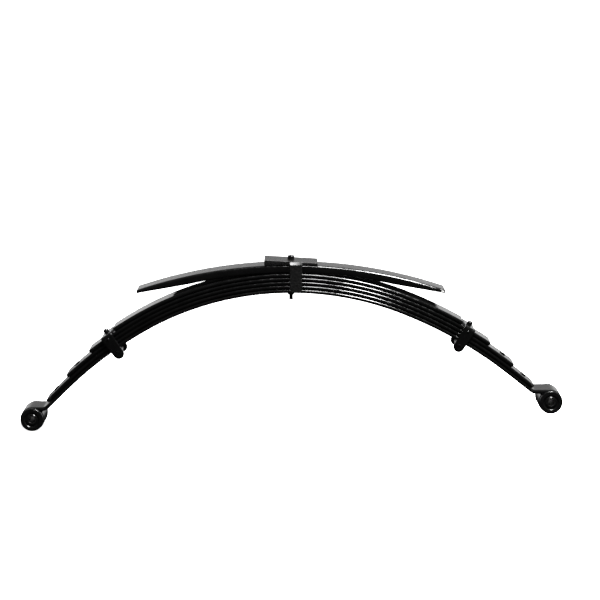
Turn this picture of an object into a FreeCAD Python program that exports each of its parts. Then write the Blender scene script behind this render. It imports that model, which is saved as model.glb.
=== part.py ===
import FreeCAD, Part
import math
import os

import Sketcher
from FreeCAD import Placement, Rotation, Vector

# Semi-elliptic leaf spring of a truck, laid with its arch upwards: a main leaf with a rolled
# eye at each end, four graded leaves on it, a thick overload leaf, a taper shim, a centre bolt,
# two rebound clips and a flanged two-piece bush with a steel sleeve in each eye.
# X runs along the spring, Y across it and Z up, with the centre bolt on the Z axis.  The pieces
# are laid out from the main leaf's underside at the bolt and then lowered together, so that the
# origin is the foot of the bolt's head, which locates the spring on its axle seat.
# Lengths are millimetres, angles degrees.

SIDES = {"left": -1, "right": 1}

DIMENSIONS = {
    # spring steel section and stack
    "leaf_width": 63.5,
    "leaf_thick": 9.0,
    "leaf_gap": 0.2,
    "edge_round": 4.0,
    # free shape of the main leaf's underside: two arcs and a straight tail on each side
    "left_inner_radius": 670.5,
    "left_inner_angle": 29.93,
    "left_outer_radius": 911.0,
    "left_outer_angle": 44.675,
    "left_tail": 60.5,
    "left_level": 23.4,
    "right_inner_radius": 685.8,
    "right_inner_angle": 21.57,
    "right_outer_radius": 991.6,
    "right_outer_angle": 38.574,
    "right_tail": 62.0,
    "right_level": 34.4,
    # rolled eyes
    "bend_radius": 18.0,
    "eye_bore": 38.2,
    "roll_gap": 54.0,
    # where the graded leaves end
    "second_left_tail": 50.3,
    "second_right_tail": 60.1,
    "third_left_end": 43.1,
    "third_right_end": 38.1,
    "fourth_left_end": 38.3,
    "fourth_right_end": 33.9,
    "fifth_left_end": 33.7,
    "fifth_right_end": 29.4,
    "corner_trim": 1.5,
    # overload leaf
    "overload_thick": 19.5,
    "overload_radius": 1100.0,
    "overload_half": 353.5,
    "overload_taper_start": 235.0,
    "overload_tip": 8.0,
    "overload_round": 3.2,
    # taper shim
    "shim_length": 122.0,
    "shim_width": 63.5,
    "shim_left_height": 11.9,
    "shim_right_height": 4.8,
    "shim_gap": 0.1,
    "shim_chamfer": 1.0,
    "spot_face": 18.0,
    # centre bolt and nut
    "centre_bolt_dia": 9.5,
    "centre_hole_dia": 10.0,
    "centre_head_dia": 15.0,
    "centre_head_height": 9.7,
    "centre_bolt_seat": 73.5,
    "centre_bolt_tail": 19.8,
    "centre_nut_flats": 15.0,
    "centre_nut_height": 7.6,
    # side label
    "label_width": 28.0,
    "label_centre": 11.6,
    "label_bottom": 3.0,
    "label_thick": 0.5,
    "label_gap": 0.15,
    "label_drop": 1.4,
    # tip plugs
    "plug_dia": 11.0,
    "plug_flange_dia": 18.0,
    "plug_flange_height": 2.4,
    "plug_head_dia": 14.0,
    "plug_head_height": 2.0,
    "plug_clearance": 0.1,
    "plug_inset": 30.0,
    # rebound clips
    "left_clip_station": 431.0,
    "right_clip_station": 413.0,
    "strap_width": 28.0,
    "strap_thick": 5.0,
    "strap_side_gap": 0.8,
    "strap_base_gap": 0.3,
    "strap_bend": 4.0,
    "lobe_radius": 12.5,
    "clip_bolt_drop": 10.0,
    "clip_bolt_dia": 8.0,
    "clip_hole_dia": 8.6,
    "clip_hex_flats": 13.0,
    "clip_head_height": 5.3,
    "clip_nut_height": 6.5,
    "spacer_dia": 13.0,
    "rivet_dia": 8.0,
    "rivet_head_dia": 12.5,
    "rivet_head_height": 9.5,
    # eye bushes and sleeves
    "bush_fit": 0.1,
    "bush_length": 28.0,
    "flange_dia": 54.0,
    "flange_thick": 5.4,
    "sleeve_dia": 19.0,
    "sleeve_bore": 14.6,
    "sleeve_length": 76.2,
    "running_clearance": 0.07,
}

doc = FreeCAD.newDocument("leaf_spring")
sheet = doc.addObject("Spreadsheet::Sheet", "dims")
for row, (alias, size) in enumerate(DIMENSIONS.items(), start=1):
    sheet.set(f"A{row}", alias)
    sheet.set(f"B{row}", str(size))
    sheet.setAlias(f"B{row}", alias)
doc.recompute()

parts = []


def dim(alias):
    """Number held by a cell of the sheet."""
    return float(getattr(sheet, alias))


def sheet_value(expression):
    """Number that an expression on the sheet comes to."""
    return float(sheet.evalExpression(expression.replace("dims.", "")))


def new_body(label):
    """PartDesign body that becomes one exported piece."""
    body = doc.addObject("PartDesign::Body", label)
    body.Label = label
    parts.append(body)
    return body


def sketch_on(body, role, name, offset=None):
    """Sketch on one of the body's own origin planes, shifted by an attachment offset."""
    base = next(item for item in body.Origin.OriginFeatures if item.Role == role)
    sketch = body.newObject("Sketcher::SketchObject", name)
    sketch.AttachmentSupport = [(base, "")]
    sketch.MapMode = "FlatFace"
    if offset is not None:
        sketch.AttachmentOffset = offset
    return sketch


def bind(sketch, kind, refs, expression):
    """Dimension constraint whose value follows an expression on the sheet."""
    value = sketch.evalExpression(expression)
    index = sketch.addConstraint(Sketcher.Constraint(kind, *refs, float(value)))
    sketch.setExpression(f"Constraints[{index}]", expression)


def add_line(sketch, start, end):
    return sketch.addGeometry(Part.LineSegment(Vector(*start, 0), Vector(*end, 0)), False)


def add_arc(sketch, centre, radius, start, end):
    circle = Part.Circle(Vector(*centre, 0), Vector(0, 0, 1), radius)
    return sketch.addGeometry(Part.ArcOfCircle(circle, start, end), False)


def polygon(sketch, points):
    """Closed chain of straight edges through the points; returns the edge numbers."""
    edges = [add_line(sketch, points[i], points[(i + 1) % len(points)]) for i in range(len(points))]
    for i, edge in enumerate(edges):
        sketch.addConstraint(Sketcher.Constraint("Coincident", edge, 2, edges[(i + 1) % len(edges)], 1))
    return edges


def bound_polygon(sketch, corners):
    """Closed outline whose corners are placed by pairs of expressions on the sheet."""
    points = [tuple(float(sketch.evalExpression(axis)) for axis in corner) for corner in corners]
    edges = polygon(sketch, points)
    for edge, corner, point in zip(edges, corners, points):
        pin_point(sketch, edge, 1, corner, point)
    return edges


def pin_point(sketch, edge, end, corner, point):
    """Tie one end of an edge to the origin in X and Y."""
    for kind, axis, value in zip(("DistanceX", "DistanceY"), corner, point):
        if value < 0:
            bind(sketch, kind, (edge, end, -1, 1), f"-({axis})")
        else:
            bind(sketch, kind, (-1, 1, edge, end), axis)


def circle_at_origin(sketch, diameter):
    """Circle about the sketch origin; its diameter follows an expression."""
    radius = float(sketch.evalExpression(diameter)) / 2
    edge = sketch.addGeometry(Part.Circle(Vector(0, 0, 0), Vector(0, 0, 1), radius), False)
    sketch.addConstraint(Sketcher.Constraint("Coincident", edge, 3, -1, 1))
    bind(sketch, "Diameter", (edge,), diameter)
    return edge


def hexagon(sketch, flats):
    """Regular hexagon about the origin; its width over flats follows an expression."""
    radius = float(sketch.evalExpression(flats)) / math.sqrt(3)
    turns = [math.radians(30 + 60 * i) for i in range(6)]
    edges = polygon(sketch, [(radius * math.cos(turn), radius * math.sin(turn)) for turn in turns])
    guide = sketch.addGeometry(Part.Circle(Vector(0, 0, 0), Vector(0, 0, 1), radius), True)
    sketch.addConstraint(Sketcher.Constraint("Coincident", guide, 3, -1, 1))
    for edge in edges:
        sketch.addConstraint(Sketcher.Constraint("PointOnObject", edge, 1, guide))
    for edge in edges[1:]:
        sketch.addConstraint(Sketcher.Constraint("Equal", edges[0], edge))
    sketch.addConstraint(Sketcher.Constraint("Vertical", edges[5]))
    bind(sketch, "Diameter", (guide,), f"2 * ({flats}) / sqrt(3)")
    return edges


def pad(body, sketch, length, midplane=False, reverse=False):
    feature = body.newObject("PartDesign::Pad", sketch.Name + "_pad")
    feature.Profile = sketch
    feature.Midplane = midplane
    feature.Reversed = reverse
    feature.setExpression("Length", length)
    sketch.Visibility = False
    return feature


def pocket_through(body, sketch, length):
    """Cut the sketch's area out to both sides of its plane and check that it cut."""
    doc.recompute()
    before = body.Shape.Volume
    feature = body.newObject("PartDesign::Pocket", sketch.Name + "_cut")
    feature.Profile = sketch
    feature.Midplane = True
    feature.setExpression("Length", length)
    doc.recompute()
    if body.Shape.Volume > before - 1:
        raise RuntimeError(f"{body.Label}: {sketch.Name} cuts nothing")
    return feature


def revolve(body, sketch):
    """Full revolution of a sketch about the body's own Z axis."""
    feature = body.newObject("PartDesign::Revolution", sketch.Name + "_turned")
    feature.Profile = sketch
    base = next(item for item in body.Origin.OriginFeatures if item.Role == "Z_Axis")
    feature.ReferenceAxis = (base, [""])
    feature.Angle = 360


def station(side, run, rise):
    """Point and slope on the spring line: run along the main leaf's underside from the bolt,
    rise measured square to it.  The slope is positive where the leaf falls away from the bolt."""
    inner_radius = dim(f"{side}_inner_radius")
    outer_radius = dim(f"{side}_outer_radius")
    inner_angle = math.radians(dim(f"{side}_inner_angle"))
    outer_angle = math.radians(dim(f"{side}_outer_angle"))
    slope = min(run / inner_radius, inner_angle)
    along = inner_radius * math.sin(slope)
    height = -inner_radius * (1 - math.cos(slope))
    run -= inner_radius * slope
    if run > 0:
        slope = min(inner_angle + run / outer_radius, outer_angle)
        along += outer_radius * (math.sin(slope) - math.sin(inner_angle))
        height -= outer_radius * (math.cos(inner_angle) - math.cos(slope))
        run -= outer_radius * (slope - inner_angle)
        along += run * math.cos(slope)
        height -= run * math.sin(slope)
    along += rise * math.sin(slope)
    height += rise * math.cos(slope)
    return SIDES[side] * along, height, math.degrees(slope)


def station_placement(side, run, rise):
    """Local frame on the spring line: Z square to the leaf, X along it, Y across it."""
    along, height, slope = station(side, run, rise)
    return Placement(Vector(along, 0, height), Rotation(Vector(0, 1, 0), SIDES[side] * slope))


def run_to_slope(side, slope):
    """Distance along the main leaf's underside from the bolt to a given slope."""
    inner_angle = dim(f"{side}_inner_angle")
    inner = dim(f"{side}_inner_radius") * math.radians(min(slope, inner_angle))
    return inner + dim(f"{side}_outer_radius") * math.radians(max(slope - inner_angle, 0))


def end_run(side, slope, tail):
    """Distance from the bolt to a leaf's end, from its end slope and tail expressions."""
    straight = sheet_value(tail) if tail else 0
    return run_to_slope(side, sheet_value(slope)) + straight


def leaf_rise(level):
    """Expression for the height of a leaf's underside above the main leaf's."""
    return f"{level} * (dims.leaf_thick + dims.leaf_gap)"


class SpringLine:
    """Sketch chain along the middle of a leaf, from the bolt out to both ends."""

    def __init__(self, sketch, level):
        self.sketch = sketch
        self.lift = f"({leaf_rise(level)} + dims.leaf_thick / 2)"
        self.ends = {}

    def value(self, expression):
        return float(self.sketch.evalExpression(expression))

    def arcs(self, side, end_angle):
        """Inner and outer arc of one side, the outer one up to the slope end_angle."""
        sign = SIDES[side]
        near, far = (1, 2) if sign < 0 else (2, 1)
        lift = self.value(self.lift)
        inner = dim(f"{side}_inner_radius") + lift
        outer = dim(f"{side}_outer_radius") + lift
        joint = math.radians(dim(f"{side}_inner_angle"))
        end = math.radians(self.value(end_angle))
        centre = (0, lift - inner)
        shift = inner - outer
        centre_outer = (sign * shift * math.sin(joint), centre[1] + shift * math.cos(joint))
        first = self.arc_from_top(centre, inner, sign, 0, joint)
        second = self.arc_from_top(centre_outer, outer, sign, joint, end)
        self.join(first, far, second, near)
        inner_length = f"(dims.{side}_inner_radius + {self.lift})"
        outer_length = f"(dims.{side}_outer_radius + {self.lift})"
        bind(self.sketch, "Radius", (first,), inner_length)
        bind(self.sketch, "Radius", (second,), outer_length)
        joint_x = f"{inner_length} * sin(dims.{side}_inner_angle)"
        end_x = f"{joint_x} + {outer_length} * (sin({end_angle}) - sin(dims.{side}_inner_angle))"
        self.hold_x(first, far, sign, joint_x)
        self.hold_x(second, far, sign, end_x)
        self.ends[side] = (second, far, centre_outer[0] + sign * outer * math.sin(end),
                           centre_outer[1] + outer * math.cos(end), end)
        return first, near

    def arc_from_top(self, centre, radius, sign, start, end):
        """Arc measured in radians from straight above its centre, towards the given side."""
        top = math.pi / 2
        if sign > 0:
            return add_arc(self.sketch, centre, radius, top - end, top - start)
        return add_arc(self.sketch, centre, radius, top + start, top + end)

    def join(self, first, first_end, second, second_end):
        self.sketch.addConstraint(Sketcher.Constraint("Tangent", first, first_end, second, second_end))

    def hold_x(self, edge, end, sign, expression):
        refs = (-1, 1, edge, end) if sign > 0 else (edge, end, -1, 1)
        bind(self.sketch, "DistanceX", refs, expression)

    def crown(self, left, right):
        """Join both sides on the bolt axis at the leaf's own height."""
        self.join(left[0], left[1], right[0], right[1])
        self.sketch.addConstraint(Sketcher.Constraint("PointOnObject", left[0], left[1], -2))
        self.sketch.addConstraint(Sketcher.Constraint("PointOnObject", left[0], 3, -2))
        bind(self.sketch, "DistanceY", (-1, 1, left[0], left[1]), self.lift)

    def tail(self, side, length):
        """Straight run on from the outer arc."""
        edge, end, along, height, slope = self.ends[side]
        reach = self.value(length)
        tip = (along + SIDES[side] * reach * math.cos(slope), height - reach * math.sin(slope))
        line = add_line(self.sketch, (along, height), tip)
        self.join(edge, end, line, 1)
        bind(self.sketch, "Distance", (line,), length)
        self.ends[side] = (line, 2, tip[0], tip[1], slope)

    def eye(self, side):
        """Reverse bend up to the level, a short level run, and the rolled eye below it."""
        sign = SIDES[side]
        edge, end, along, height, slope = self.ends[side]
        bend = dim("bend_radius")
        roll = dim("eye_bore") / 2 + dim("leaf_thick") / 2
        centre = (along + sign * bend * math.sin(slope), height + bend * math.cos(slope))
        bottom = 1.5 * math.pi
        if sign > 0:
            curve = add_arc(self.sketch, centre, bend, bottom - slope, bottom)
        else:
            curve = add_arc(self.sketch, centre, bend, bottom, bottom + slope)
        near, far = (1, 2) if sign > 0 else (2, 1)
        self.join(edge, end, curve, near)
        bind(self.sketch, "Radius", (curve,), "dims.bend_radius")
        level_y = centre[1] - bend
        top = (centre[0] + sign * dim(f"{side}_level"), level_y)
        level = add_line(self.sketch, (centre[0], level_y), top)
        self.join(curve, far, level, 1)
        self.sketch.addConstraint(Sketcher.Constraint("Horizontal", level))
        bind(self.sketch, "Distance", (level,), f"dims.{side}_level")
        sweep = 2 * math.pi - math.radians(dim("roll_gap"))
        eye_centre = (top[0], level_y - roll)
        rolled = self.arc_from_top(eye_centre, roll, sign, 0, sweep)
        near, far = (2, 1) if sign > 0 else (1, 2)
        self.join(level, 2, rolled, near)
        bind(self.sketch, "Radius", (rolled,), "(dims.eye_bore + dims.leaf_thick) / 2")
        refs = (rolled, far, rolled, 3) if sign > 0 else (rolled, 3, rolled, far)
        bind(self.sketch, "DistanceX", refs,
             "(dims.eye_bore + dims.leaf_thick) / 2 * sin(dims.roll_gap)")
        return Vector(eye_centre[0], 0, eye_centre[1])


def leaf_section(body, level):
    """Flat spring-steel bar with rounded edges, across the bolt axis."""
    sketch = sketch_on(body, "YZ_Plane", body.Label + "_section")
    half = dim("leaf_width") / 2
    thick = dim("leaf_thick")
    corner = dim("edge_round")
    low = float(sketch.evalExpression(leaf_rise(level)))
    high = low + thick
    left, right = -half + corner, half - corner
    bottom = add_line(sketch, (left, low), (right, low))
    side = add_line(sketch, (half, low + corner), (half, high - corner))
    top = add_line(sketch, (right, high), (left, high))
    other = add_line(sketch, (-half, high - corner), (-half, low + corner))
    corners = [
        add_arc(sketch, (right, low + corner), corner, 1.5 * math.pi, 2 * math.pi),
        add_arc(sketch, (right, high - corner), corner, 0, 0.5 * math.pi),
        add_arc(sketch, (left, high - corner), corner, 0.5 * math.pi, math.pi),
        add_arc(sketch, (left, low + corner), corner, math.pi, 1.5 * math.pi),
    ]
    edges = [bottom, side, top, other]
    for i, turn in enumerate(corners):
        sketch.addConstraint(Sketcher.Constraint("Tangent", edges[i], 2, turn, 1))
        sketch.addConstraint(Sketcher.Constraint("Tangent", turn, 2, edges[(i + 1) % 4], 1))
    sketch.addConstraint(Sketcher.Constraint("Symmetric", bottom, 1, bottom, 2, -2))
    for turn in corners[1:]:
        sketch.addConstraint(Sketcher.Constraint("Equal", corners[0], turn))
    bind(sketch, "Radius", (corners[0],), "dims.edge_round")
    bind(sketch, "DistanceX", (bottom, 1, bottom, 2), "dims.leaf_width - 2 * dims.edge_round")
    bind(sketch, "DistanceY", (side, 1, side, 2), "dims.leaf_thick - 2 * dims.edge_round")
    if level:
        bind(sketch, "DistanceY", (-1, 1, bottom, 1), leaf_rise(level))
    else:
        sketch.addConstraint(Sketcher.Constraint("PointOnObject", bottom, 1, -1))
    return sketch


def sweep_leaf(body, path, section):
    """Bar swept along the spring line."""
    doc.recompute()
    feature = body.newObject("PartDesign::AdditivePipe", body.Label + "_bar")
    feature.Profile = section
    feature.Spine = (path, [])
    feature.Mode = "Standard"
    doc.recompute()
    expected = section_area(section) * path.Shape.Length
    if abs(feature.Shape.Volume - expected) > 0.01 * expected:
        raise RuntimeError(f"{body.Label}: swept volume {feature.Shape.Volume:.0f}, not {expected:.0f}")


def section_area(section):
    return Part.Face(section.Shape.Wires[0]).Area


def centre_hole(body):
    """Clearance hole for the centre bolt, along the Z axis."""
    sketch = sketch_on(body, "XY_Plane", body.Label + "_centre_hole")
    circle_at_origin(sketch, "dims.centre_hole_dia")
    pocket_through(body, sketch, "400")


def inclined_hole(body, name, placement, diameter, length):
    """Round hole square to the leaf at a station, cut to both sides of the given point."""
    sketch = sketch_on(body, "XY_Plane", name, placement)
    circle_at_origin(sketch, diameter)
    pocket_through(body, sketch, length)


def trim_corners(body, level, runs):
    """Cut both corners of each leaf end off at 45 degrees, seen square to the leaf."""
    rise = sheet_value(leaf_rise(level)) + dim("leaf_thick") / 2
    beside = "(dims.leaf_width / 2 + 1)"
    within = "(dims.leaf_width / 2 - dims.corner_trim - 1)"
    back = "(dims.corner_trim + 1)"
    for side, run in runs.items():
        place = station_placement(side, run, rise)
        sketch = sketch_on(body, "XY_Plane", f"{body.Label}_{side}_corners", place)
        past, inside = ("1", f"-{back}") if side == "right" else ("-1", back)
        for half in ("", "-"):
            bound_polygon(sketch, [(past, half + beside), (past, half + within), (inside, half + beside)])
        pocket_through(body, sketch, "2 * dims.leaf_thick")


def graded_leaf(label, level, ends):
    """One leaf of the pack; ends gives each side's end slope, and a tail where it has one."""
    body = new_body(label)
    path = sketch_on(body, "XZ_Plane", label + "_line")
    line = SpringLine(path, level)
    crowns = {side: line.arcs(side, ends[side][0]) for side in SIDES}
    line.crown(crowns["left"], crowns["right"])
    for side in SIDES:
        if ends[side][1]:
            line.tail(side, ends[side][1])
    sweep_leaf(body, path, leaf_section(body, level))
    centre_hole(body)
    trim_corners(body, level, {side: end_run(side, *ends[side]) for side in SIDES})
    return body


def main_leaf():
    """Main leaf with a rolled eye at each end; returns the eye centres."""
    body = new_body("main_leaf")
    path = sketch_on(body, "XZ_Plane", "main_leaf_line")
    line = SpringLine(path, 0)
    crowns = {side: line.arcs(side, f"dims.{side}_outer_angle") for side in SIDES}
    line.crown(crowns["left"], crowns["right"])
    centres = {}
    for side in SIDES:
        line.tail(side, f"dims.{side}_tail")
        centres[side] = line.eye(side)
    sweep_leaf(body, path, leaf_section(body, 0))
    centre_hole(body)
    return centres


def plug_holes(body, level, runs):
    """Counterbored holes near both ends of a leaf for its tip plugs; returns their places."""
    rise = sheet_value(leaf_rise(level))
    places = {}
    for side, run in runs.items():
        place = station_placement(side, run, rise)
        places[side] = place
        inclined_hole(body, f"{body.Label}_{side}_plug_hole", place,
                      "dims.plug_dia + 2 * dims.plug_clearance", "4 * dims.leaf_thick")
        inclined_hole(body, f"{body.Label}_{side}_plug_seat", place,
                      "dims.plug_flange_dia + 2 * dims.plug_clearance",
                      "2 * (dims.plug_flange_height + dims.plug_clearance)")
    return places


def turned_piece(label, outline, placement):
    """Solid of revolution about Z from corners given as expressions (radius, height)."""
    body = new_body(label)
    sketch = sketch_on(body, "XZ_Plane", label + "_profile")
    bound_polygon(sketch, outline)
    revolve(body, sketch)
    body.Placement = placement


def tip_plug(label, placement):
    """Wear plug: a flange set into the leaf's underside, a stem through it and a low head on top."""
    flange = "dims.plug_flange_dia / 2"
    stem = "dims.plug_dia / 2"
    head = "dims.plug_head_dia / 2"
    under = "dims.plug_flange_height"
    over = "dims.leaf_thick + dims.plug_clearance"
    top = f"{over} + dims.plug_head_height"
    outline = [("0", "0"), (flange, "0"), (flange, under), (stem, under), (stem, over), (head, over),
               (head, f"{top} - 0.8"), (f"{head} - 0.8", top), ("0", top)]
    turned_piece(label, outline, placement)


def overload_leaf():
    """Thick second-stage leaf, nearly flat, tapered towards its tips, on top of the pack."""
    body = new_body("overload_leaf")
    sketch = sketch_on(body, "XZ_Plane", "overload_leaf_outline")
    low = float(sketch.evalExpression(leaf_rise(5)))
    top_radius = dim("overload_radius")
    bottom_radius = top_radius - dim("overload_thick")
    centre_z = low - bottom_radius
    half = dim("overload_half")
    knee = dim("overload_taper_start")
    tip = dim("overload_tip")
    up = math.pi / 2
    reach = math.asin(half / top_radius)
    fold = math.asin(knee / bottom_radius)
    top = add_arc(sketch, (0, centre_z), top_radius, up - reach, up + reach)
    bottom = add_arc(sketch, (0, centre_z), bottom_radius, up - fold, up + fold)
    tip_z = centre_z + top_radius * math.cos(reach)
    knee_z = centre_z + bottom_radius * math.cos(fold)
    right_tip = add_line(sketch, (half, tip_z), (half, tip_z - tip))
    left_tip = add_line(sketch, (-half, tip_z), (-half, tip_z - tip))
    right_taper = add_line(sketch, (half, tip_z - tip), (knee, knee_z))
    left_taper = add_line(sketch, (-half, tip_z - tip), (-knee, knee_z))
    for edge, end, other, other_end in (
        (top, 1, right_tip, 1),
        (top, 2, left_tip, 1),
        (right_tip, 2, right_taper, 1),
        (left_tip, 2, left_taper, 1),
        (right_taper, 2, bottom, 1),
        (left_taper, 2, bottom, 2),
        (top, 3, bottom, 3),
    ):
        sketch.addConstraint(Sketcher.Constraint("Coincident", edge, end, other, other_end))
    sketch.addConstraint(Sketcher.Constraint("PointOnObject", top, 3, -2))
    sketch.addConstraint(Sketcher.Constraint("Vertical", right_tip))
    sketch.addConstraint(Sketcher.Constraint("Vertical", left_tip))
    bind(sketch, "Radius", (top,), "dims.overload_radius")
    bind(sketch, "Radius", (bottom,), "dims.overload_radius - dims.overload_thick")
    bind(sketch, "DistanceY", (top, 3, -1, 1),
         f"dims.overload_radius - dims.overload_thick - {leaf_rise(5)}")
    bind(sketch, "DistanceX", (-1, 1, top, 1), "dims.overload_half")
    bind(sketch, "DistanceX", (top, 2, -1, 1), "dims.overload_half")
    bind(sketch, "DistanceX", (-1, 1, bottom, 1), "dims.overload_taper_start")
    bind(sketch, "DistanceX", (bottom, 2, -1, 1), "dims.overload_taper_start")
    bind(sketch, "DistanceY", (right_tip, 2, right_tip, 1), "dims.overload_tip")
    bind(sketch, "DistanceY", (left_tip, 2, left_tip, 1), "dims.overload_tip")
    bar = pad(body, sketch, "dims.leaf_width", midplane=True)
    break_long_edges(body, bar, "leaf_width", "PartDesign::Fillet", "Radius", "dims.overload_round")
    centre_hole(body)


def break_long_edges(body, bar, width, kind, size_name, size):
    """Round or chamfer the edges that run along both sides of a bar padded across Y."""
    doc.recompute()
    half = dim(width) / 2
    names = []
    for number, edge in enumerate(bar.Shape.Edges, start=1):
        if all(abs(abs(vertex.Y) - half) < 1e-4 for vertex in edge.Vertexes):
            if edge.BoundBox.YLength < 1e-4 and edge.BoundBox.XLength > 1e-4:
                names.append(f"Edge{number}")
    feature = body.newObject(kind, body.Label + "_edges")
    feature.Base = (bar, names)
    feature.setExpression(size_name, size)
    doc.recompute()


def taper_shim():
    """Wedge between the overload leaf and the axle seat, thicker at the left end."""
    body = new_body("taper_shim")
    sketch = sketch_on(body, "XZ_Plane", "taper_shim_outline")
    crown = f"({leaf_rise(5)} + dims.overload_thick + dims.shim_gap)"
    base = float(sketch.evalExpression(crown))
    radius = dim("overload_radius") + dim("shim_gap")
    half = dim("shim_length") / 2
    reach = math.asin(half / radius)
    up = math.pi / 2
    foot = base - radius + radius * math.cos(reach)
    left_top = base + dim("shim_left_height")
    right_top = base + dim("shim_right_height")
    arc = add_arc(sketch, (0, base - radius), radius, up - reach, up + reach)
    right = add_line(sketch, (half, foot), (half, right_top))
    top = add_line(sketch, (half, right_top), (-half, left_top))
    left = add_line(sketch, (-half, left_top), (-half, foot))
    for edge, end, other, other_end in (
        (arc, 1, right, 1),
        (right, 2, top, 1),
        (top, 2, left, 1),
        (left, 2, arc, 2),
    ):
        sketch.addConstraint(Sketcher.Constraint("Coincident", edge, end, other, other_end))
    sketch.addConstraint(Sketcher.Constraint("Vertical", right))
    sketch.addConstraint(Sketcher.Constraint("Vertical", left))
    sketch.addConstraint(Sketcher.Constraint("PointOnObject", arc, 3, -2))
    bind(sketch, "Radius", (arc,), "dims.overload_radius + dims.shim_gap")
    bind(sketch, "DistanceY", (arc, 3, -1, 1), f"dims.overload_radius + dims.shim_gap - {crown}")
    bind(sketch, "DistanceX", (-1, 1, arc, 1), "dims.shim_length / 2")
    bind(sketch, "DistanceX", (arc, 2, -1, 1), "dims.shim_length / 2")
    bind(sketch, "DistanceY", (-1, 1, left, 1), f"{crown} + dims.shim_left_height")
    bind(sketch, "DistanceY", (-1, 1, right, 2), f"{crown} + dims.shim_right_height")
    plate = pad(body, sketch, "dims.shim_width", midplane=True)
    break_long_edges(body, plate, "shim_width", "PartDesign::Chamfer", "Size", "dims.shim_chamfer")
    centre_hole(body)
    seat = sketch_on(body, "XY_Plane", "taper_shim_spot_face")
    circle_at_origin(seat, "dims.spot_face")
    seat.setExpression("AttachmentOffset.Base.z", "dims.centre_bolt_seat + 5")
    pocket_through(body, seat, "10")


def centre_bolt():
    """Centre bolt: round head in the shim's spot face, shank down through the whole stack."""
    head = "dims.centre_head_dia / 2"
    shank = "dims.centre_bolt_dia / 2"
    seat = "dims.centre_bolt_seat"
    top = "dims.centre_bolt_seat + dims.centre_head_height"
    tail = "-dims.centre_bolt_tail"
    outline = [("0", tail), (f"{shank} - 0.8", tail), (shank, f"{tail} + 0.8"), (shank, seat),
               (head, seat), (head, f"{top} - 1.6"), (f"{head} - 1.6", top), ("0", top)]
    turned_piece("centre_bolt", outline, Placement())


def hex_nut(label, flats, height, bore, placement):
    """Hexagon nut on the XY plane, with its corners turned off at both ends."""
    body = new_body(label)
    outline = sketch_on(body, "XY_Plane", label + "_hexagon")
    hexagon(outline, flats)
    pad(body, outline, height)
    hole = sketch_on(body, "XY_Plane", label + "_bore")
    circle_at_origin(hole, bore)
    pocket_through(body, hole, f"4 * ({height})")
    turn_corners(body, label, flats, height)
    body.Placement = placement
    return body


def turn_corners(body, label, flats, height):
    """Groove that takes the hexagon's corners off at 30 degrees at its top and bottom."""
    doc.recompute()
    before = body.Shape.Volume
    sketch = sketch_on(body, "XZ_Plane", label + "_corner")
    flat = f"({flats}) / 2"
    wide = f"({flats}) * 0.6"
    rise = f"({flats}) * 0.1 * tan(30)"
    bound_polygon(sketch, [(flat, height), (wide, f"{height} - {rise}"), (wide, height)])
    groove = body.newObject("PartDesign::Groove", label + "_turned")
    groove.Profile = sketch
    base = next(item for item in body.Origin.OriginFeatures if item.Role == "Z_Axis")
    groove.ReferenceAxis = (base, [""])
    groove.Angle = 360
    doc.recompute()
    if body.Shape.Volume > before - 0.1:
        raise RuntimeError(f"{label}: the corner groove cuts nothing")


def side_label():
    """Blank label stuck on the near side of the stack, from the main leaf up to the shim."""
    body = new_body("side_label")
    place = Placement(Vector(0, 0, dim("label_centre")), Rotation())
    sketch = sketch_on(body, "YZ_Plane", "side_label_section", place)
    sketch.setExpression("AttachmentOffset.Base.z", "dims.label_centre")
    inner = "-(dims.leaf_width / 2 + dims.label_gap)"
    outer = f"({inner} - dims.label_thick)"
    low = "dims.label_bottom"
    top = "dims.centre_bolt_seat - dims.label_drop"
    bound_polygon(sketch, [(inner, low), (inner, top), (outer, top), (outer, low)])
    pad(body, sketch, "dims.label_width", midplane=True)


def clip_strap(side, place):
    """U-shaped rebound clip: base riveted on the fourth leaf, a rounded lobe below each side."""
    body = new_body(f"{side}_clip_strap")
    base_low = f"({leaf_rise(3)} + dims.leaf_thick + dims.strap_base_gap)"
    base_high = f"({base_low} + dims.strap_thick)"
    inner = "(dims.leaf_width / 2 + dims.strap_side_gap)"
    blank = sketch_on(body, "XZ_Plane", f"{side}_strap_blank")
    strap_outline(blank, base_high)
    pad(body, blank, f"2 * ({inner} + dims.strap_thick)", midplane=True)
    channel = sketch_on(body, "YZ_Plane", f"{side}_strap_channel")
    bound_polygon(channel, [(f"-{inner}", "-60"), (inner, "-60"), (inner, base_low), (f"-{inner}", base_low)])
    pocket_through(body, channel, "4 * dims.strap_width")
    bend_strap(body, side, float(blank.evalExpression(base_high)))
    drop = Placement(Vector(0, -dim("clip_bolt_drop"), 0), Rotation())
    across = sketch_on(body, "XZ_Plane", f"{side}_strap_bolt_hole", drop)
    across.setExpression("AttachmentOffset.Base.y", "-dims.clip_bolt_drop")
    circle_at_origin(across, "dims.clip_hole_dia")
    pocket_through(body, across, "4 * dims.leaf_width")
    top = sketch_on(body, "XY_Plane", f"{side}_strap_rivet_hole")
    circle_at_origin(top, "dims.rivet_dia + 0.2")
    pocket_through(body, top, "200")
    body.Placement = place


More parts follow.
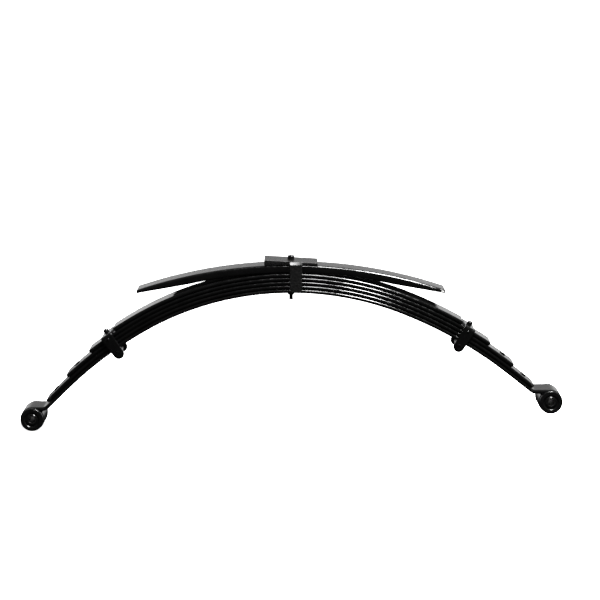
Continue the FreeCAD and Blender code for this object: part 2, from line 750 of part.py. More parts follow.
def strap_outline(sketch, base_high):
    """Side view of the strap: square shoulders above, tapering to a round lobe below."""
    top = float(sketch.evalExpression(base_high))
    wide = dim("strap_width") / 2
    lobe = dim("lobe_radius")
    drop = -dim("clip_bolt_drop")
    rise = top - drop
    lean = math.atan(wide / rise) - math.asin(lobe / math.hypot(wide, rise))
    tip = (lobe * math.cos(lean), drop - lobe * math.sin(lean))
    arc = add_arc(sketch, (0, drop), lobe, math.pi + lean, 2 * math.pi - lean)
    crest = add_line(sketch, (-wide, top), (wide, top))
    right = add_line(sketch, (wide, top), tip)
    left = add_line(sketch, (-wide, top), (-tip[0], tip[1]))
    sketch.addConstraint(Sketcher.Constraint("Coincident", crest, 1, left, 1))
    sketch.addConstraint(Sketcher.Constraint("Coincident", crest, 2, right, 1))
    sketch.addConstraint(Sketcher.Constraint("Tangent", right, 2, arc, 2))
    sketch.addConstraint(Sketcher.Constraint("Tangent", left, 2, arc, 1))
    sketch.addConstraint(Sketcher.Constraint("Symmetric", crest, 1, crest, 2, -2))
    sketch.addConstraint(Sketcher.Constraint("PointOnObject", arc, 3, -2))
    bind(sketch, "DistanceX", (crest, 1, crest, 2), "dims.strap_width")
    bind(sketch, "DistanceY", (-1, 1, crest, 1), base_high)
    bind(sketch, "DistanceY", (arc, 3, -1, 1), "dims.clip_bolt_drop")
    bind(sketch, "Radius", (arc,), "dims.lobe_radius")


def bend_strap(body, side, top):
    """Round the two outer bends where the base turns down into the legs."""
    doc.recompute()
    outer = dim("leaf_width") / 2 + dim("strap_side_gap") + dim("strap_thick")
    base = body.Tip
    names = []
    for number, edge in enumerate(base.Shape.Edges, start=1):
        on_corner = all(abs(abs(v.Y) - outer) < 1e-3 and abs(v.Z - top) < 1e-3 for v in edge.Vertexes)
        if on_corner and edge.BoundBox.YLength < 1e-3:
            names.append(f"Edge{number}")
    if len(names) != 2:
        raise RuntimeError(f"{side} clip strap: {len(names)} bend edges")
    feature = body.newObject("PartDesign::Fillet", f"{side}_strap_bends")
    feature.Base = (base, names)
    feature.setExpression("Radius", "dims.strap_bend")
    doc.recompute()


def clip_rivet(side, place):
    """Rivet with a tall round head that holds the strap on the fourth leaf."""
    radius = "dims.rivet_dia / 2"
    head = "dims.rivet_head_dia / 2"
    low = f"{leaf_rise(3)} + 0.3"
    seat = f"{leaf_rise(3)} + dims.leaf_thick + dims.strap_base_gap + dims.strap_thick"
    rise = "dims.rivet_head_height"
    outline = [("0", low), (radius, low), (radius, seat), (head, seat), (head, f"{seat} + {rise} * 0.5"),
               (f"{head} * 0.94", f"{seat} + {rise} * 0.7"),
               (f"{head} * 0.72", f"{seat} + {rise} * 0.88"),
               (f"{head} * 0.38", f"{seat} + {rise} * 0.98"), ("0", f"{seat} + {rise}")]
    turned_piece(f"{side}_clip_rivet", outline, place)


def cross_place(place, across):
    """Frame for a piece on the cross bolt: its own Z points along the bolt to the near side."""
    local = Placement(Vector(0, across, -dim("clip_bolt_drop")), Rotation(Vector(1, 0, 0), 90))
    return place.multiply(local)


def clip_bolt(side, place):
    """Hexagon bolt through the lobes, head on the near side."""
    label = f"{side}_clip_bolt"
    body = new_body(label)
    leg = "(dims.leaf_width / 2 + dims.strap_side_gap + dims.strap_thick)"
    head = sketch_on(body, "XY_Plane", label + "_head")
    hexagon(head, "dims.clip_hex_flats")
    pad(body, head, "dims.clip_head_height")
    turn_corners(body, label, "dims.clip_hex_flats", "dims.clip_head_height")
    shank = sketch_on(body, "XY_Plane", label + "_shank")
    circle_at_origin(shank, "dims.clip_bolt_dia")
    pad(body, shank, f"2 * {leg} + dims.clip_nut_height + 3", reverse=True)
    reach = dim("leaf_width") / 2 + dim("strap_side_gap") + dim("strap_thick")
    body.Placement = cross_place(place, -reach - 0.1)


def clip_spacer(side, place):
    """Tube on the cross bolt that keeps the lobes apart."""
    label = f"{side}_clip_spacer"
    body = new_body(label)
    ring = sketch_on(body, "XY_Plane", label + "_ring")
    circle_at_origin(ring, "dims.spacer_dia")
    circle_at_origin(ring, "dims.clip_hole_dia")
    pad(body, ring, "dims.leaf_width + 2 * dims.strap_side_gap - 0.2", midplane=True)
    body.Placement = cross_place(place, 0)


def bush_half(label, place):
    """Moulded bush half: a tube in the eye and a flange against its side."""
    bore = "dims.sleeve_dia / 2 + dims.running_clearance"
    tube = "dims.eye_bore / 2 - dims.bush_fit"
    flange = "dims.flange_dia / 2"
    face = "dims.leaf_width / 2 + 0.1"
    outer = f"{face} + dims.flange_thick"
    inner = f"{face} - dims.bush_length"
    outline = [(bore, inner), (tube, inner), (tube, face), (flange, face),
               (flange, f"{outer} - 1.5"), (f"{flange} - 1.5", outer), (f"{bore} + 1.2", outer),
               (bore, f"{outer} - 1.2")]
    turned_piece(label, outline, place)


def sleeve(side, place):
    """Inner steel sleeve, longer than the eye is wide so that the bracket clamps it."""
    outer = "dims.sleeve_dia / 2"
    bore = "dims.sleeve_bore / 2"
    half = "dims.sleeve_length / 2"
    outline = [(bore, f"-{half} + 0.6"), (f"{bore} + 0.6", f"-{half}"), (f"{outer} - 0.6", f"-{half}"),
               (outer, f"-{half} + 0.6"), (outer, f"{half} - 0.6"), (f"{outer} - 0.6", half),
               (f"{bore} + 0.6", half), (bore, f"{half} - 0.6")]
    turned_piece(f"{side}_sleeve", outline, place)


def rebound_clip(side):
    """Strap, rivet, cross bolt, spacer tube and nut of one clip."""
    place = station_placement(side, dim(f"{side}_clip_station"), 0)
    clip_strap(side, place)
    clip_rivet(side, place)
    clip_bolt(side, place)
    clip_spacer(side, place)
    reach = dim("leaf_width") / 2 + dim("strap_side_gap") + dim("strap_thick")
    hex_nut(f"{side}_clip_nut", "dims.clip_hex_flats", "dims.clip_nut_height",
            "dims.clip_bolt_dia + 0.1", cross_place(place, reach + dim("clip_nut_height") + 0.1))
    return place


def eye_pieces(side, centre):
    """Two bush halves and the sleeve of one eye."""
    near = Placement(centre, Rotation(Vector(1, 0, 0), 90))
    far = Placement(centre, Rotation(Vector(1, 0, 0), -90))
    bush_half(f"{side}_near_bush", near)
    bush_half(f"{side}_far_bush", far)
    sleeve(side, near)


def lower_to_seat():
    """Put the origin at the foot of the centre bolt's head."""
    drop = Placement(Vector(0, 0, -dim("centre_bolt_seat")), Rotation())
    for body in parts:
        body.Placement = drop.multiply(body.Placement)


def check_and_export():
    """Stop on any failed object, then write one STEP file per piece."""
    doc.recompute()
    for item in doc.Objects:
        if {"Invalid", "Error"} & set(item.State):
            raise RuntimeError(f"{item.Name} failed: {item.State}")
    os.makedirs("parts", exist_ok=True)
    for body in parts:
        shape = body.Shape
        if shape.isNull() or not shape.isValid() or len(shape.Solids) != 1:
            raise RuntimeError(f"{body.Label} is not one valid solid")
        shape.exportStep(os.path.join("parts", body.Label + ".step"))
        box = shape.BoundBox
        print(f"{body.Label:20s} {shape.Volume:12.0f} mm3  x {box.XMin:8.1f} {box.XMax:8.1f}"
              f"  y {box.YMin:7.1f} {box.YMax:7.1f}  z {box.ZMin:8.1f} {box.ZMax:8.1f}")


eye_centres = main_leaf()
leaf_ends = {
    "second_leaf": {side: (f"dims.{side}_outer_angle", f"dims.second_{side}_tail") for side in SIDES},
    "third_leaf": {side: (f"dims.third_{side}_end", None) for side in SIDES},
    "fourth_leaf": {side: (f"dims.fourth_{side}_end", None) for side in SIDES},
    "fifth_leaf": {side: (f"dims.fifth_{side}_end", None) for side in SIDES},
}
leaves = {}
for level, (name, ends) in enumerate(leaf_ends.items(), start=1):
    leaves[name] = graded_leaf(name, level, ends)

for level, name in ((1, "second_leaf"), (2, "third_leaf")):
    runs = {side: end_run(side, *leaf_ends[name][side]) - dim("plug_inset") for side in SIDES}
    for side, place in plug_holes(leaves[name], level, runs).items():
        tip_plug(f"{name}_{side}_plug", place)

overload_leaf()
taper_shim()
centre_bolt()
nut_place = Placement(Vector(0, 0, -dim("centre_nut_height") - 0.2), Rotation())
hex_nut("centre_nut", "dims.centre_nut_flats", "dims.centre_nut_height",
        "dims.centre_bolt_dia + 0.1", nut_place)
side_label()

for side in SIDES:
    clip_place = rebound_clip(side)
    rivet_rise = sheet_value(leaf_rise(3)) + dim("leaf_thick") / 2
    rivet_place = clip_place.multiply(Placement(Vector(0, 0, rivet_rise), Rotation()))
    inclined_hole(leaves["fourth_leaf"], f"fourth_leaf_{side}_rivet_hole", rivet_place,
                  "dims.rivet_dia + 0.2", "2 * dims.leaf_thick")
    eye_pieces(side, eye_centres[side])

lower_to_seat()
check_and_export()
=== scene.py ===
import math

import bpy
from mathutils import Matrix, Vector, noise


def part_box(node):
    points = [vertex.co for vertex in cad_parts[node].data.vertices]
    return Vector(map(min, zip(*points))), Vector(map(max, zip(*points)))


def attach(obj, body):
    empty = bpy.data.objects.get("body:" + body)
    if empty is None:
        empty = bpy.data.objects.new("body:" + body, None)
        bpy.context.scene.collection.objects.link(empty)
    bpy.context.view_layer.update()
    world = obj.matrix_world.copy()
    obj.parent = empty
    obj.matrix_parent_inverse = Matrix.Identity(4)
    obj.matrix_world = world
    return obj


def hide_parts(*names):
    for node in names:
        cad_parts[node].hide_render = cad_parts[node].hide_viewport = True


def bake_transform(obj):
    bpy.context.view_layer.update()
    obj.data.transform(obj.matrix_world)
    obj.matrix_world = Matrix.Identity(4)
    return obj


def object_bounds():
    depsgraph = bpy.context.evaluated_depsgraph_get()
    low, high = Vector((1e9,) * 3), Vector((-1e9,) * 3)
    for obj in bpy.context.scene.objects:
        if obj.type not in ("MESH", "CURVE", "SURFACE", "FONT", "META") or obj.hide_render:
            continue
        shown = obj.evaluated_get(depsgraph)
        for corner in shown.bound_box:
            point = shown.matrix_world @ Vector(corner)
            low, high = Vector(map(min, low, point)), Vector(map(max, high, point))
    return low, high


# Looks of a truck's leaf spring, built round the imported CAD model.
# Sizes below are millimetres and degrees, as in the CAD; pieces are turned into metres when they are made.
# X runs along the spring, Y across it (near side negative), Z up, origin at the foot of the bolt's head.

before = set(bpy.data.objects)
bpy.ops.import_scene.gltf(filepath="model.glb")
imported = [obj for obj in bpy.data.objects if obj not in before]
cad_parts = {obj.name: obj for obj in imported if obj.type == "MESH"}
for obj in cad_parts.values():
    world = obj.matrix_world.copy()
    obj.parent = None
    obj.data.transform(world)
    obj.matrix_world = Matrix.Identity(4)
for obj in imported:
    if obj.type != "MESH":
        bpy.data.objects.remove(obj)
cad_low, cad_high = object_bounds()

MM = 0.001
SIDES = {"left": -1, "right": 1}
SEAT_HEIGHT = 73.5

# leaf section and the free shape of the main leaf's underside
LEAF_WIDTH = 63.5
LEAF_THICK = 9.0
LEAF_PITCH = 9.2
LEAF_ROUND = 4.0
CORNER_TRIM = 1.5
END_CHAMFER = 0.8
ARCH = {
    "left": {"inner_radius": 670.5, "inner_angle": 29.93, "outer_radius": 911.0, "outer_angle": 44.675},
    "right": {"inner_radius": 685.8, "inner_angle": 21.57, "outer_radius": 991.6, "outer_angle": 38.574},
}
PACK = ("main_leaf", "second_leaf", "third_leaf", "fourth_leaf", "fifth_leaf")
PACK_HEIGHT = len(PACK) * LEAF_PITCH
END_SLOPE = {
    "left": {"third_leaf": 43.1, "fourth_leaf": 38.3, "fifth_leaf": 33.7},
    "right": {"third_leaf": 38.1, "fourth_leaf": 33.9, "fifth_leaf": 29.4},
}
TAIL = {
    "left": {"main_leaf": 60.5, "second_leaf": 50.3},
    "right": {"main_leaf": 62.0, "second_leaf": 60.1},
}
EYE_LEVEL = {"left": 23.4, "right": 34.4}
BEND_RADIUS = 18.0
EYE_BORE = 38.2
ROLL_GAP = 54.0
PLUG_INSET = 30.0
PLUG_DIA = 11.0
PLUG_FLANGE_DIA = 18.0
PLUG_FLANGE_HEIGHT = 2.4
PLUG_HEAD_DIA = 14.0
PLUG_HEAD_HEIGHT = 2.0

# holes: their play round what goes through them, and how far down and up a cutter reaches
HOLE_GAP = 0.2
STACK_HOLE = (-200, 20)
LEAF_HOLE = (-5, 15)

# overload leaf, shim and centre bolt
OVERLOAD_RADIUS = 1100.0
OVERLOAD_THICK = 19.5
OVERLOAD_HALF = 353.5
OVERLOAD_KNEE = 235.0
OVERLOAD_TIP = 8.0
OVERLOAD_ROUND = 4.8
SHIM_HALF = 61.0
SHIM_WIDTH = 63.5
SHIM_LEFT = 11.9
SHIM_RIGHT = 4.8
SHIM_GAP = 0.1
SHIM_EDGE = 1.0
SPOT_FACE_DIA = 18.0
BOLT_HOLE_DIA = 10.0
BOLT_DIA = 9.5
BOLT_PITCH = 1.5
BOLT_HEAD_DIA = 15.0
BOLT_HEAD_HEIGHT = 9.7
BOLT_TAIL = 19.8
BOLT_THREAD = 32.0
NUT_FLATS = 15.0
NUT_HEIGHT = 7.6

# label
LABEL_WIDTH = 28.0
LABEL_CENTRE = 11.6
LABEL_BOTTOM = 3.0
LABEL_DROP = 1.4
LABEL_THICK = 0.5
LABEL_GAP = 0.15
LABEL_ROUND = 2.0

# hexagons: the turned face as a share of the flats, the foot as a share of the outline, the height of
# the foot's edge, and the bevel of the corners
HEX_FACE = 0.95
HEX_FOOT = 0.98
HEX_FOOT_EDGE = 0.3
HEX_BEVEL = 30.0

# rebound clips
CLIP_RUN = {"left": 431.0, "right": 413.0}
STRAP_WIDTH = 28.0
STRAP_THICK = 5.0
STRAP_SIDE_GAP = 0.8
STRAP_BASE = 36.9
STRAP_BEND = 4.0
PIP_DIA = 5.6
PIP_HEIGHT = 1.3
PIP_DROP = 11.0
LOBE_RADIUS = 12.5
CLIP_BOLT_DROP = 10.0
CLIP_BOLT_DIA = 8.0
CLIP_FLATS = 13.0
CLIP_HEAD_HEIGHT = 5.3
CLIP_NUT_HEIGHT = 6.5
CLIP_THREAD = 22.0
SPACER_DIA = 13.0
SPACER_BORE = 8.6
RIVET_DIA = 8.0
RIVET_HEAD_DIA = 12.5
RIVET_HEAD_HEIGHT = 9.5

# eye bushes
BUSH_DIA = 38.0
BUSH_LENGTH = 28.0
FLANGE_DIA = 54.0
FLANGE_THICK = 5.4
GROOVE_DEPTH = 1.8
SLEEVE_DIA = 19.0
SLEEVE_BORE = 14.6
SLEEVE_LENGTH = 76.2
SLEEVE_FIT = 0.07
TUBE_EASE = 0.5

# radii of the groove in a flange's face: inner rim, inner floor, outer floor, outer rim
GROOVE_RADII = (12.3, 13.6, 16.4, 17.8)

# how finely the meshes are drawn
STATION_STEP = 4.0
OVERLOAD_STEP = 2.5
SHIM_STEPS = 60
LABEL_STEPS = 60
CORNER_STEPS = 4
SEGMENTS = 72
FLANGE_SEGMENTS = 96
PIP_SEGMENTS = 24
THREAD_STEPS = 6
THREAD_DEPTH = 0.6
SMOOTH_ANGLE = math.radians(38)

# shine of the paint, and of the paint where it is matt
PAINT_SHINE = 0.5
MATT_SHINE = 0.04

# where finishes change, in metres on the unbent spring; a pair is where a change starts and ends
EYE_START = (0.552, 0.562)
EYE_EDGE = (0.0272, 0.0285)
# painted shadow of the overload leaf on the fifth leaf: where it ends along the spring, where it ends across
# it, and how far its middle wanders
OVERLOAD_SHADOW_END = (0.297, 0.306)
OVERLOAD_SHADOW_EDGE = (0.0275, 0.029)
OVERLOAD_SHADOW_SHIFT = (0.029, 0.037)
# pale spot on the overload leaf's right tip: its middle, the radii over which it fades out, and its colour
PALE_SPOT_PLACE = ((OVERLOAD_HALF - 7) * MM, -LEAF_WIDTH / 2 * MM, -0.0705)
PALE_SPOT_EDGE = (0.0032, 0.0038)
PALE_SPOT_COLOUR = (0.75, 0.75, 0.73, 1)
# painted highlight along the label's top: how far below the top it starts, its fade along the label, and its
# colour
LABEL_HIGHLIGHT_EDGE = (-0.0085, -0.0065)
LABEL_HIGHLIGHT_FADE = (0.004, 0.022)
LABEL_HIGHLIGHT_COLOUR = (0.6, 0.6, 0.6, 1)

# how far a ragged edge of a finish wanders, in metres
RAGGED = (-0.001, 0.001)

# view and light, in metres, degrees and watts, with the lens and its sensor in millimetres
CAMERA_SPOT = (0.0207, -3.5445, 0.6515)
CAMERA_TILT = 78.1
CAMERA_LENS = 94.09
CAMERA_SENSOR = 36.0
CAMERA_REACH = 500
FLOOR_HALF = 150.0
FLOOR_DROP = 0.0005
SPRING_MIDDLE = Vector((0, 0, -0.15))
LIGHTS = {
    "key_light": {"place": (1.1, -0.9, 2.7), "size": (0.64, 1.8), "power": 400},
    "fill_light": {"place": (0.34, -0.9, 2.8), "size": (0.34, 1.8), "power": 95},
}


# ---------------------------------------------------------------- mesh building

def make_piece(name, points, faces, place=Matrix.Identity(4)):
    """Piece from millimetre points in its own frame, set down at a placement in metres."""
    mesh = bpy.data.meshes.new(name)
    mesh.from_pydata([Vector(p) * MM for p in points], [], faces)
    mesh.validate()
    piece = bpy.data.objects.new(name, mesh)
    bpy.context.scene.collection.objects.link(piece)
    piece.matrix_world = place
    shade(mesh)
    return piece


def shade(mesh):
    """Smooth faces, with every edge sharper than the set angle kept crisp."""
    mesh.polygons.foreach_set("use_smooth", [True] * len(mesh.polygons))
    mesh.set_sharp_from_angle(angle=SMOOTH_ANGLE)


def loft(name, rings, place=Matrix.Identity(4), hollow=False):
    """Piece skinned over rings of equal length, anticlockwise seen from the way they advance.
    A hollow piece joins its last ring to its first; any other is capped at both ends."""
    size = len(rings[0])
    starts = [size * i for i in range(len(rings))]
    pairs = list(zip(starts, starts[1:]))
    if hollow:
        pairs.append((starts[-1], 0))
    faces = []
    for first, second in pairs:
        for i in range(size):
            j = (i + 1) % size
            faces.append((first + i, first + j, second + j, second + i))
    if not hollow:
        faces.append(tuple(reversed(range(size))))
        faces.append(tuple(starts[-1] + i for i in range(size)))
    return make_piece(name, [point for ring in rings for point in ring], faces, place)


def bar_ring(half_width, half_height, radius, across):
    """Rounded rectangle as (a, b, outward a, outward b), anticlockwise from the lower right corner."""
    radius = min(radius, half_width * 0.98, half_height * 0.98)
    ring = []
    for quarter, (sa, sb) in enumerate(((1, -1), (1, 1), (-1, 1), (-1, -1))):
        for i in range(CORNER_STEPS + 1):
            angle = math.radians(90 * (quarter - 1) + 90 * i / CORNER_STEPS)
            out = (math.cos(angle), math.sin(angle))
            ring.append((sa * (half_width - radius) + radius * out[0],
                         sb * (half_height - radius) + radius * out[1], *out))
        if quarter in (1, 3):
            for i in range(1, across):
                ring.append((sa * (half_width - radius) * (1 - 2 * i / across), sb * half_height, 0.0, sb))
    return ring


def sweep(name, stations, radius, relief=(), across=10, place=Matrix.Identity(4)):
    """Bar through stations (centre, across, up, half width, half height).  Relief lists (grain, depth)
    pairs: how coarse the unevenness of the surface is and how far it is worn in."""
    rings = []
    for centre, side, up, half_width, half_height in stations:
        ring = []
        for a, b, out_a, out_b in bar_ring(half_width, half_height, radius, across):
            point = centre + side * a + up * b
            wear = sum(depth * (0.5 + 0.5 * noise.noise(point / grain)) for grain, depth in relief)
            ring.append(point - (side * out_a + up * out_b) * wear)
        rings.append(ring)
    return loft(name, rings, place)


def circle(radius, height, segments=SEGMENTS, groove=0.0, pitch=1.0):
    """Ring about Z; a groove depth cuts a screw thread of that pitch into it."""
    ring = []
    for i in range(segments):
        turn = i / segments
        phase = (height / pitch - turn) % 1.0
        r = radius - groove * (1 - abs(2 * phase - 1))
        ring.append((r * math.cos(2 * math.pi * turn), r * math.sin(2 * math.pi * turn), height))
    return ring


def thread(radius, pitch, low, high):
    """Rings of a screw thread that runs out at both ends."""
    rings = []
    steps = math.ceil((high - low) / pitch * THREAD_STEPS)
    for i in range(steps + 1):
        height = low + (high - low) * i / steps
        run_out = max(0.0, min(1.0, (height - low) / pitch, (high - height) / pitch))
        rings.append(circle(radius, height, groove=THREAD_DEPTH * pitch * run_out, pitch=pitch))
    return rings


def screw_end(radius, low, length, lead):
    """Rings of a bolt's threaded end, upwards from its chamfered tip."""
    return [circle(radius - lead, low)] + thread(radius, BOLT_PITCH, low + lead, low + length)


def hexagon(flats, low, high, both_ends):
    """Rings of a hexagon with its corners bevelled at the top, or at both ends."""
    face = flats / 2 * HEX_FACE
    rings = [[], [], [], []]
    for i in range(SEGMENTS):
        angle = 2 * math.pi * i / SEGMENTS
        off_flat = (math.degrees(angle) + 30) % 60 - 30
        wide = flats / 2 / math.cos(math.radians(off_flat))
        drop = (wide - face) * math.tan(math.radians(HEX_BEVEL))
        foot, lift = (face, drop) if both_ends else (wide * HEX_FOOT, HEX_FOOT_EDGE)
        for ring, (r, z) in zip(rings, ((foot, low), (wide, low + lift), (wide, high - drop), (face, high))):
            ring.append((r * math.cos(angle), r * math.sin(angle), z))
    return rings


def nut(name, flats, low, high, radius, place=Matrix.Identity(4)):
    """Hexagon nut with a chamfered bore, round a bolt of this radius."""
    rings = hexagon(flats, low, high, both_ends=True)
    bore = ((0.6, high), (0.05, high - 0.6), (0.05, low + 0.6), (0.6, low))
    rings += [circle(radius + gap, height) for gap, height in bore]
    return loft(name, rings, place, hollow=True)


def dome(radius, rise, foot, angles):
    """Outline of a dome that rises from its foot, at these angles from its rim."""
    return [(radius * math.cos(math.radians(a)), foot + rise * math.sin(math.radians(a))) for a in angles]


def eased(corners, hollow=False):
    """Outline (radius, height) whose corners (radius, height, easing) are rounded off."""
    outline = []
    for i, (r, z, ease) in enumerate(corners):
        if ease == 0 or (not hollow and i in (0, len(corners) - 1)):
            outline.append((r, z))
            continue
        corner = Vector((r, z))
        before = (Vector(corners[i - 1][:2]) - corner).normalized() * ease
        after = (Vector(corners[(i + 1) % len(corners)][:2]) - corner).normalized() * ease
        for k in range(CORNER_STEPS + 1):
            t = k / CORNER_STEPS
            outline.append(tuple(corner + before * (1 - t) ** 2 + after * t ** 2))
    return outline


def turned(name, outline, place, hollow=False, segments=SEGMENTS):
    """Piece turned about its own Z from (radius, height) points, up the outside."""
    return loft(name, [circle(r, z, segments) for r, z in outline], place, hollow)


def tube(name, bore, diameter, half, bore_ease, place):
    """Plain tube along Z with its ends' corners eased."""
    outline = eased([(bore / 2, -half, bore_ease), (diameter / 2, -half, TUBE_EASE),
                     (diameter / 2, half, TUBE_EASE), (bore / 2, half, bore_ease)], hollow=True)
    return turned(name, outline, place, hollow=True)


def bar_marks(half, count, edge):
    """Places along a bar from end to end, with one more where each end's chamfer starts."""
    marks = [half * (2 * i / count - 1) for i in range(count + 1)]
    marks.insert(1, edge - half)
    marks.insert(-1, half - edge)
    return marks


def level_station(x, foot, top, half_length, half_width, edge):
    """Station of a bar along X between its underside and its top, with chamfered ends."""
    chamfer = max(0.0, edge - (half_length - abs(x)))
    return (Vector((x, 0, (top + foot) / 2)), Vector((0, 1, 0)), Vector((0, 0, 1)),
            half_width - chamfer, (top - foot) / 2 - chamfer)


def carve(piece, cutters, operation="DIFFERENCE"):
    """Cut the cutters' shapes out of a piece, or join them to it, for good."""
    for cutter in cutters:
        cut = piece.modifiers.new("cut", "BOOLEAN")
        cut.operation = operation
        cut.solver = "EXACT"
        cut.object = cutter
    graph = bpy.context.evaluated_depsgraph_get()
    mesh = bpy.data.meshes.new_from_object(piece.evaluated_get(graph))
    piece.modifiers.clear()
    old = piece.data
    piece.data = mesh
    bpy.data.meshes.remove(old)
    for cutter in cutters:
        bpy.data.objects.remove(cutter)
    shade(mesh)


def drill(diameter, low, high, place=Matrix.Identity(4)):
    """Round cutter along Z."""
    return turned("drill", [(diameter / 2, low), (diameter / 2, high)], place)


# ---------------------------------------------------------------- where things are

def leaf_rise(name):
    """Height of a leaf's underside over the main leaf's, square to the leaf."""
    return PACK.index(name) * LEAF_PITCH


def leaf_line(side, name):
    """Straight runs and arcs of a leaf's middle line as (length, radius); radius is positive
    where the line turns down and zero where it is straight."""
    arch = ARCH[side]
    lift = leaf_rise(name) + LEAF_THICK / 2
    inner = arch["inner_radius"] + lift
    outer = arch["outer_radius"] + lift
    end = END_SLOPE[side].get(name, arch["outer_angle"])
    runs = [(inner * math.radians(arch["inner_angle"]), inner),
            (outer * math.radians(end - arch["inner_angle"]), outer)]
    if name in TAIL[side]:
        runs.append((TAIL[side][name], 0))
    if name == "main_leaf":
        roll = (EYE_BORE + LEAF_THICK) / 2
        runs += [(BEND_RADIUS * math.radians(end), -BEND_RADIUS), (EYE_LEVEL[side], 0),
                 (roll * math.radians(360 - ROLL_GAP), roll)]
    return runs


def split_end(runs, lengths):
    """The same line with its last run divided, so that stations fall at these distances from the end."""
    length, radius = runs[-1]
    marks = [length, *lengths, 0]
    return runs[:-1] + [(far - near, radius) for far, near in zip(marks, marks[1:])]


def walk(runs, lift):
    """Stations (distance, along, height, slope in radians) from the bolt outwards."""
    distance, along, height, slope = 0.0, 0.0, lift, 0.0
    stations = [(distance, along, height, slope)]
    for length, radius in runs:
        step = min(STATION_STEP, abs(radius) / 9) if radius else STATION_STEP
        count = math.ceil(length / step)
        part = length / count
        turn = part / radius if radius else 0.0
        chord = 2 * radius * math.sin(turn / 2) if radius else part
        for _ in range(count):
            along += chord * math.cos(slope + turn / 2)
            height -= chord * math.sin(slope + turn / 2)
            slope += turn
            distance += part
            stations.append((distance, along, height, slope))
    return stations


def place_on(side, run, rise):
    """Placement on the spring line: run along the main leaf's underside from the bolt, rise square to
    it; local Z is square to the leaf, X along it and Y across it."""
    arch = ARCH[side]
    inner = math.radians(arch["inner_angle"])
    outer = math.radians(arch["outer_angle"])
    first = min(run, arch["inner_radius"] * inner)
    second = min(run - first, arch["outer_radius"] * (outer - inner))
    runs = [(first, arch["inner_radius"])]
    if second > 0:
        runs.append((second, arch["outer_radius"]))
    if run - first - second > 0:
        runs.append((run - first - second, 0))
    _, along, height, slope = walk(runs, 0)[-1]
    sign = SIDES[side]
    along += rise * math.sin(slope)
    height += rise * math.cos(slope) - SEAT_HEIGHT
    spot = Matrix.Translation(Vector((sign * along, 0, height)) * MM)
    return spot @ Matrix.Rotation(sign * slope, 4, "Y")


def run_to_end(side, name):
    """Distance from the bolt to a leaf's end along the main leaf's underside."""
    arch = ARCH[side]
    end = END_SLOPE[side].get(name, arch["outer_angle"])
    inner = arch["inner_radius"] * math.radians(arch["inner_angle"])
    outer = arch["outer_radius"] * math.radians(end - arch["inner_angle"])
    return inner + outer + TAIL[side].get(name, 0)


def across_spring(place, shift=0.0, drop=0.0, towards=-1):
    """The same place turned so that Z points across the spring, to the near side for -1."""
    moved = place @ Matrix.Translation(Vector((0, shift, -drop)) * MM)
    return moved @ Matrix.Rotation(math.radians(-90 * towards), 4, "X")


def eye_place(side):
    """Middle of the eye's sleeve, from the CAD."""
    low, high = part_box(f"{side}_sleeve")
    return Matrix.Translation((low + high) / 2)


# ---------------------------------------------------------------- finishes

def add(tree, kind, inputs=None, **settings):
    """Shader node with its settings; an input that is a socket is linked, any other is set."""
    made = tree.nodes.new(kind)
    for key, value in settings.items():
        setattr(made, key, value)
    for key, value in (inputs or {}).items():
        if isinstance(value, bpy.types.NodeSocket):
            tree.links.new(value, made.inputs[key])
        else:
            made.inputs[key].default_value = value
    return made


def calc(tree, operation, *values):
    """Result of a maths node on sockets or numbers."""
    return add(tree, "ShaderNodeMath", dict(enumerate(values)), operation=operation).outputs[0]


def spots(tree, where, grain, detail=3.0, roughness=0.55):
    """Noise from 0 to 1 whose blotches are about grain millimetres."""
    return add(tree, "ShaderNodeTexNoise", {
        "Vector": where, "Scale": 1 / (grain * MM), "Detail": detail, "Roughness": roughness}).outputs[0]


def spread(tree, value, low, high, to_low, to_high):
    """Value mapped from one range to another, held at its ends."""
    return add(tree, "ShaderNodeMapRange", {
        "Value": value, "From Min": low, "From Max": high, "To Min": to_low, "To Max": to_high}).outputs[0]


def shades(tree, value, *stops):
    """Colour ramp through (position, colour) stops."""
    ramp = add(tree, "ShaderNodeValToRGB", {"Fac": value})
    ramp.color_ramp.elements[0].position = stops[0][0]
    ramp.color_ramp.elements[0].color = (*stops[0][1], 1)
    ramp.color_ramp.elements[1].position = stops[-1][0]
    ramp.color_ramp.elements[1].color = (*stops[-1][1], 1)
    for position, colour in stops[1:-1]:
        ramp.color_ramp.elements.new(position).color = (*colour, 1)
    return ramp.outputs[0]


def mixed(tree, share, base, over):
    """Colour that goes from the base to the one over it as the share goes from 0 to 1."""
    return add(tree, "ShaderNodeMixRGB", {"Fac": share, "Color1": base, "Color2": over}).outputs[0]


def bumps(tree, *layers):
    """Normal from layers of (height, depth in millimetres), laid one on the other."""
    normal = None
    for height, depth in layers:
        inputs = {"Height": height, "Distance": depth * MM, "Strength": 1.0}
        if normal is not None:
            inputs["Normal"] = normal
        normal = add(tree, "ShaderNodeBump", inputs).outputs[0]
    return normal


def new_finish(name, bends=False):
    """Material, its tree, its shader and the coordinates its patterns use: the unbent place of a
    leaf that bends, or the piece's own frame."""
    material = bpy.data.materials.new(name)
    material.use_nodes = True
    tree = material.node_tree
    shader = tree.nodes["Principled BSDF"]
    if bends:
        where = add(tree, "ShaderNodeAttribute", attribute_name="rest").outputs["Vector"]
    else:
        where = add(tree, "ShaderNodeTexCoord").outputs["Object"]
    return material, tree, shader, where


def finish_shader(tree, shader, **inputs):
    """Set or link the shader's inputs; names use underscores for spaces."""
    for key, value in inputs.items():
        socket = shader.inputs[key.replace("_", " ")]
        if isinstance(value, bpy.types.NodeSocket):
            tree.links.new(value, socket)
        else:
            socket.default_value = value


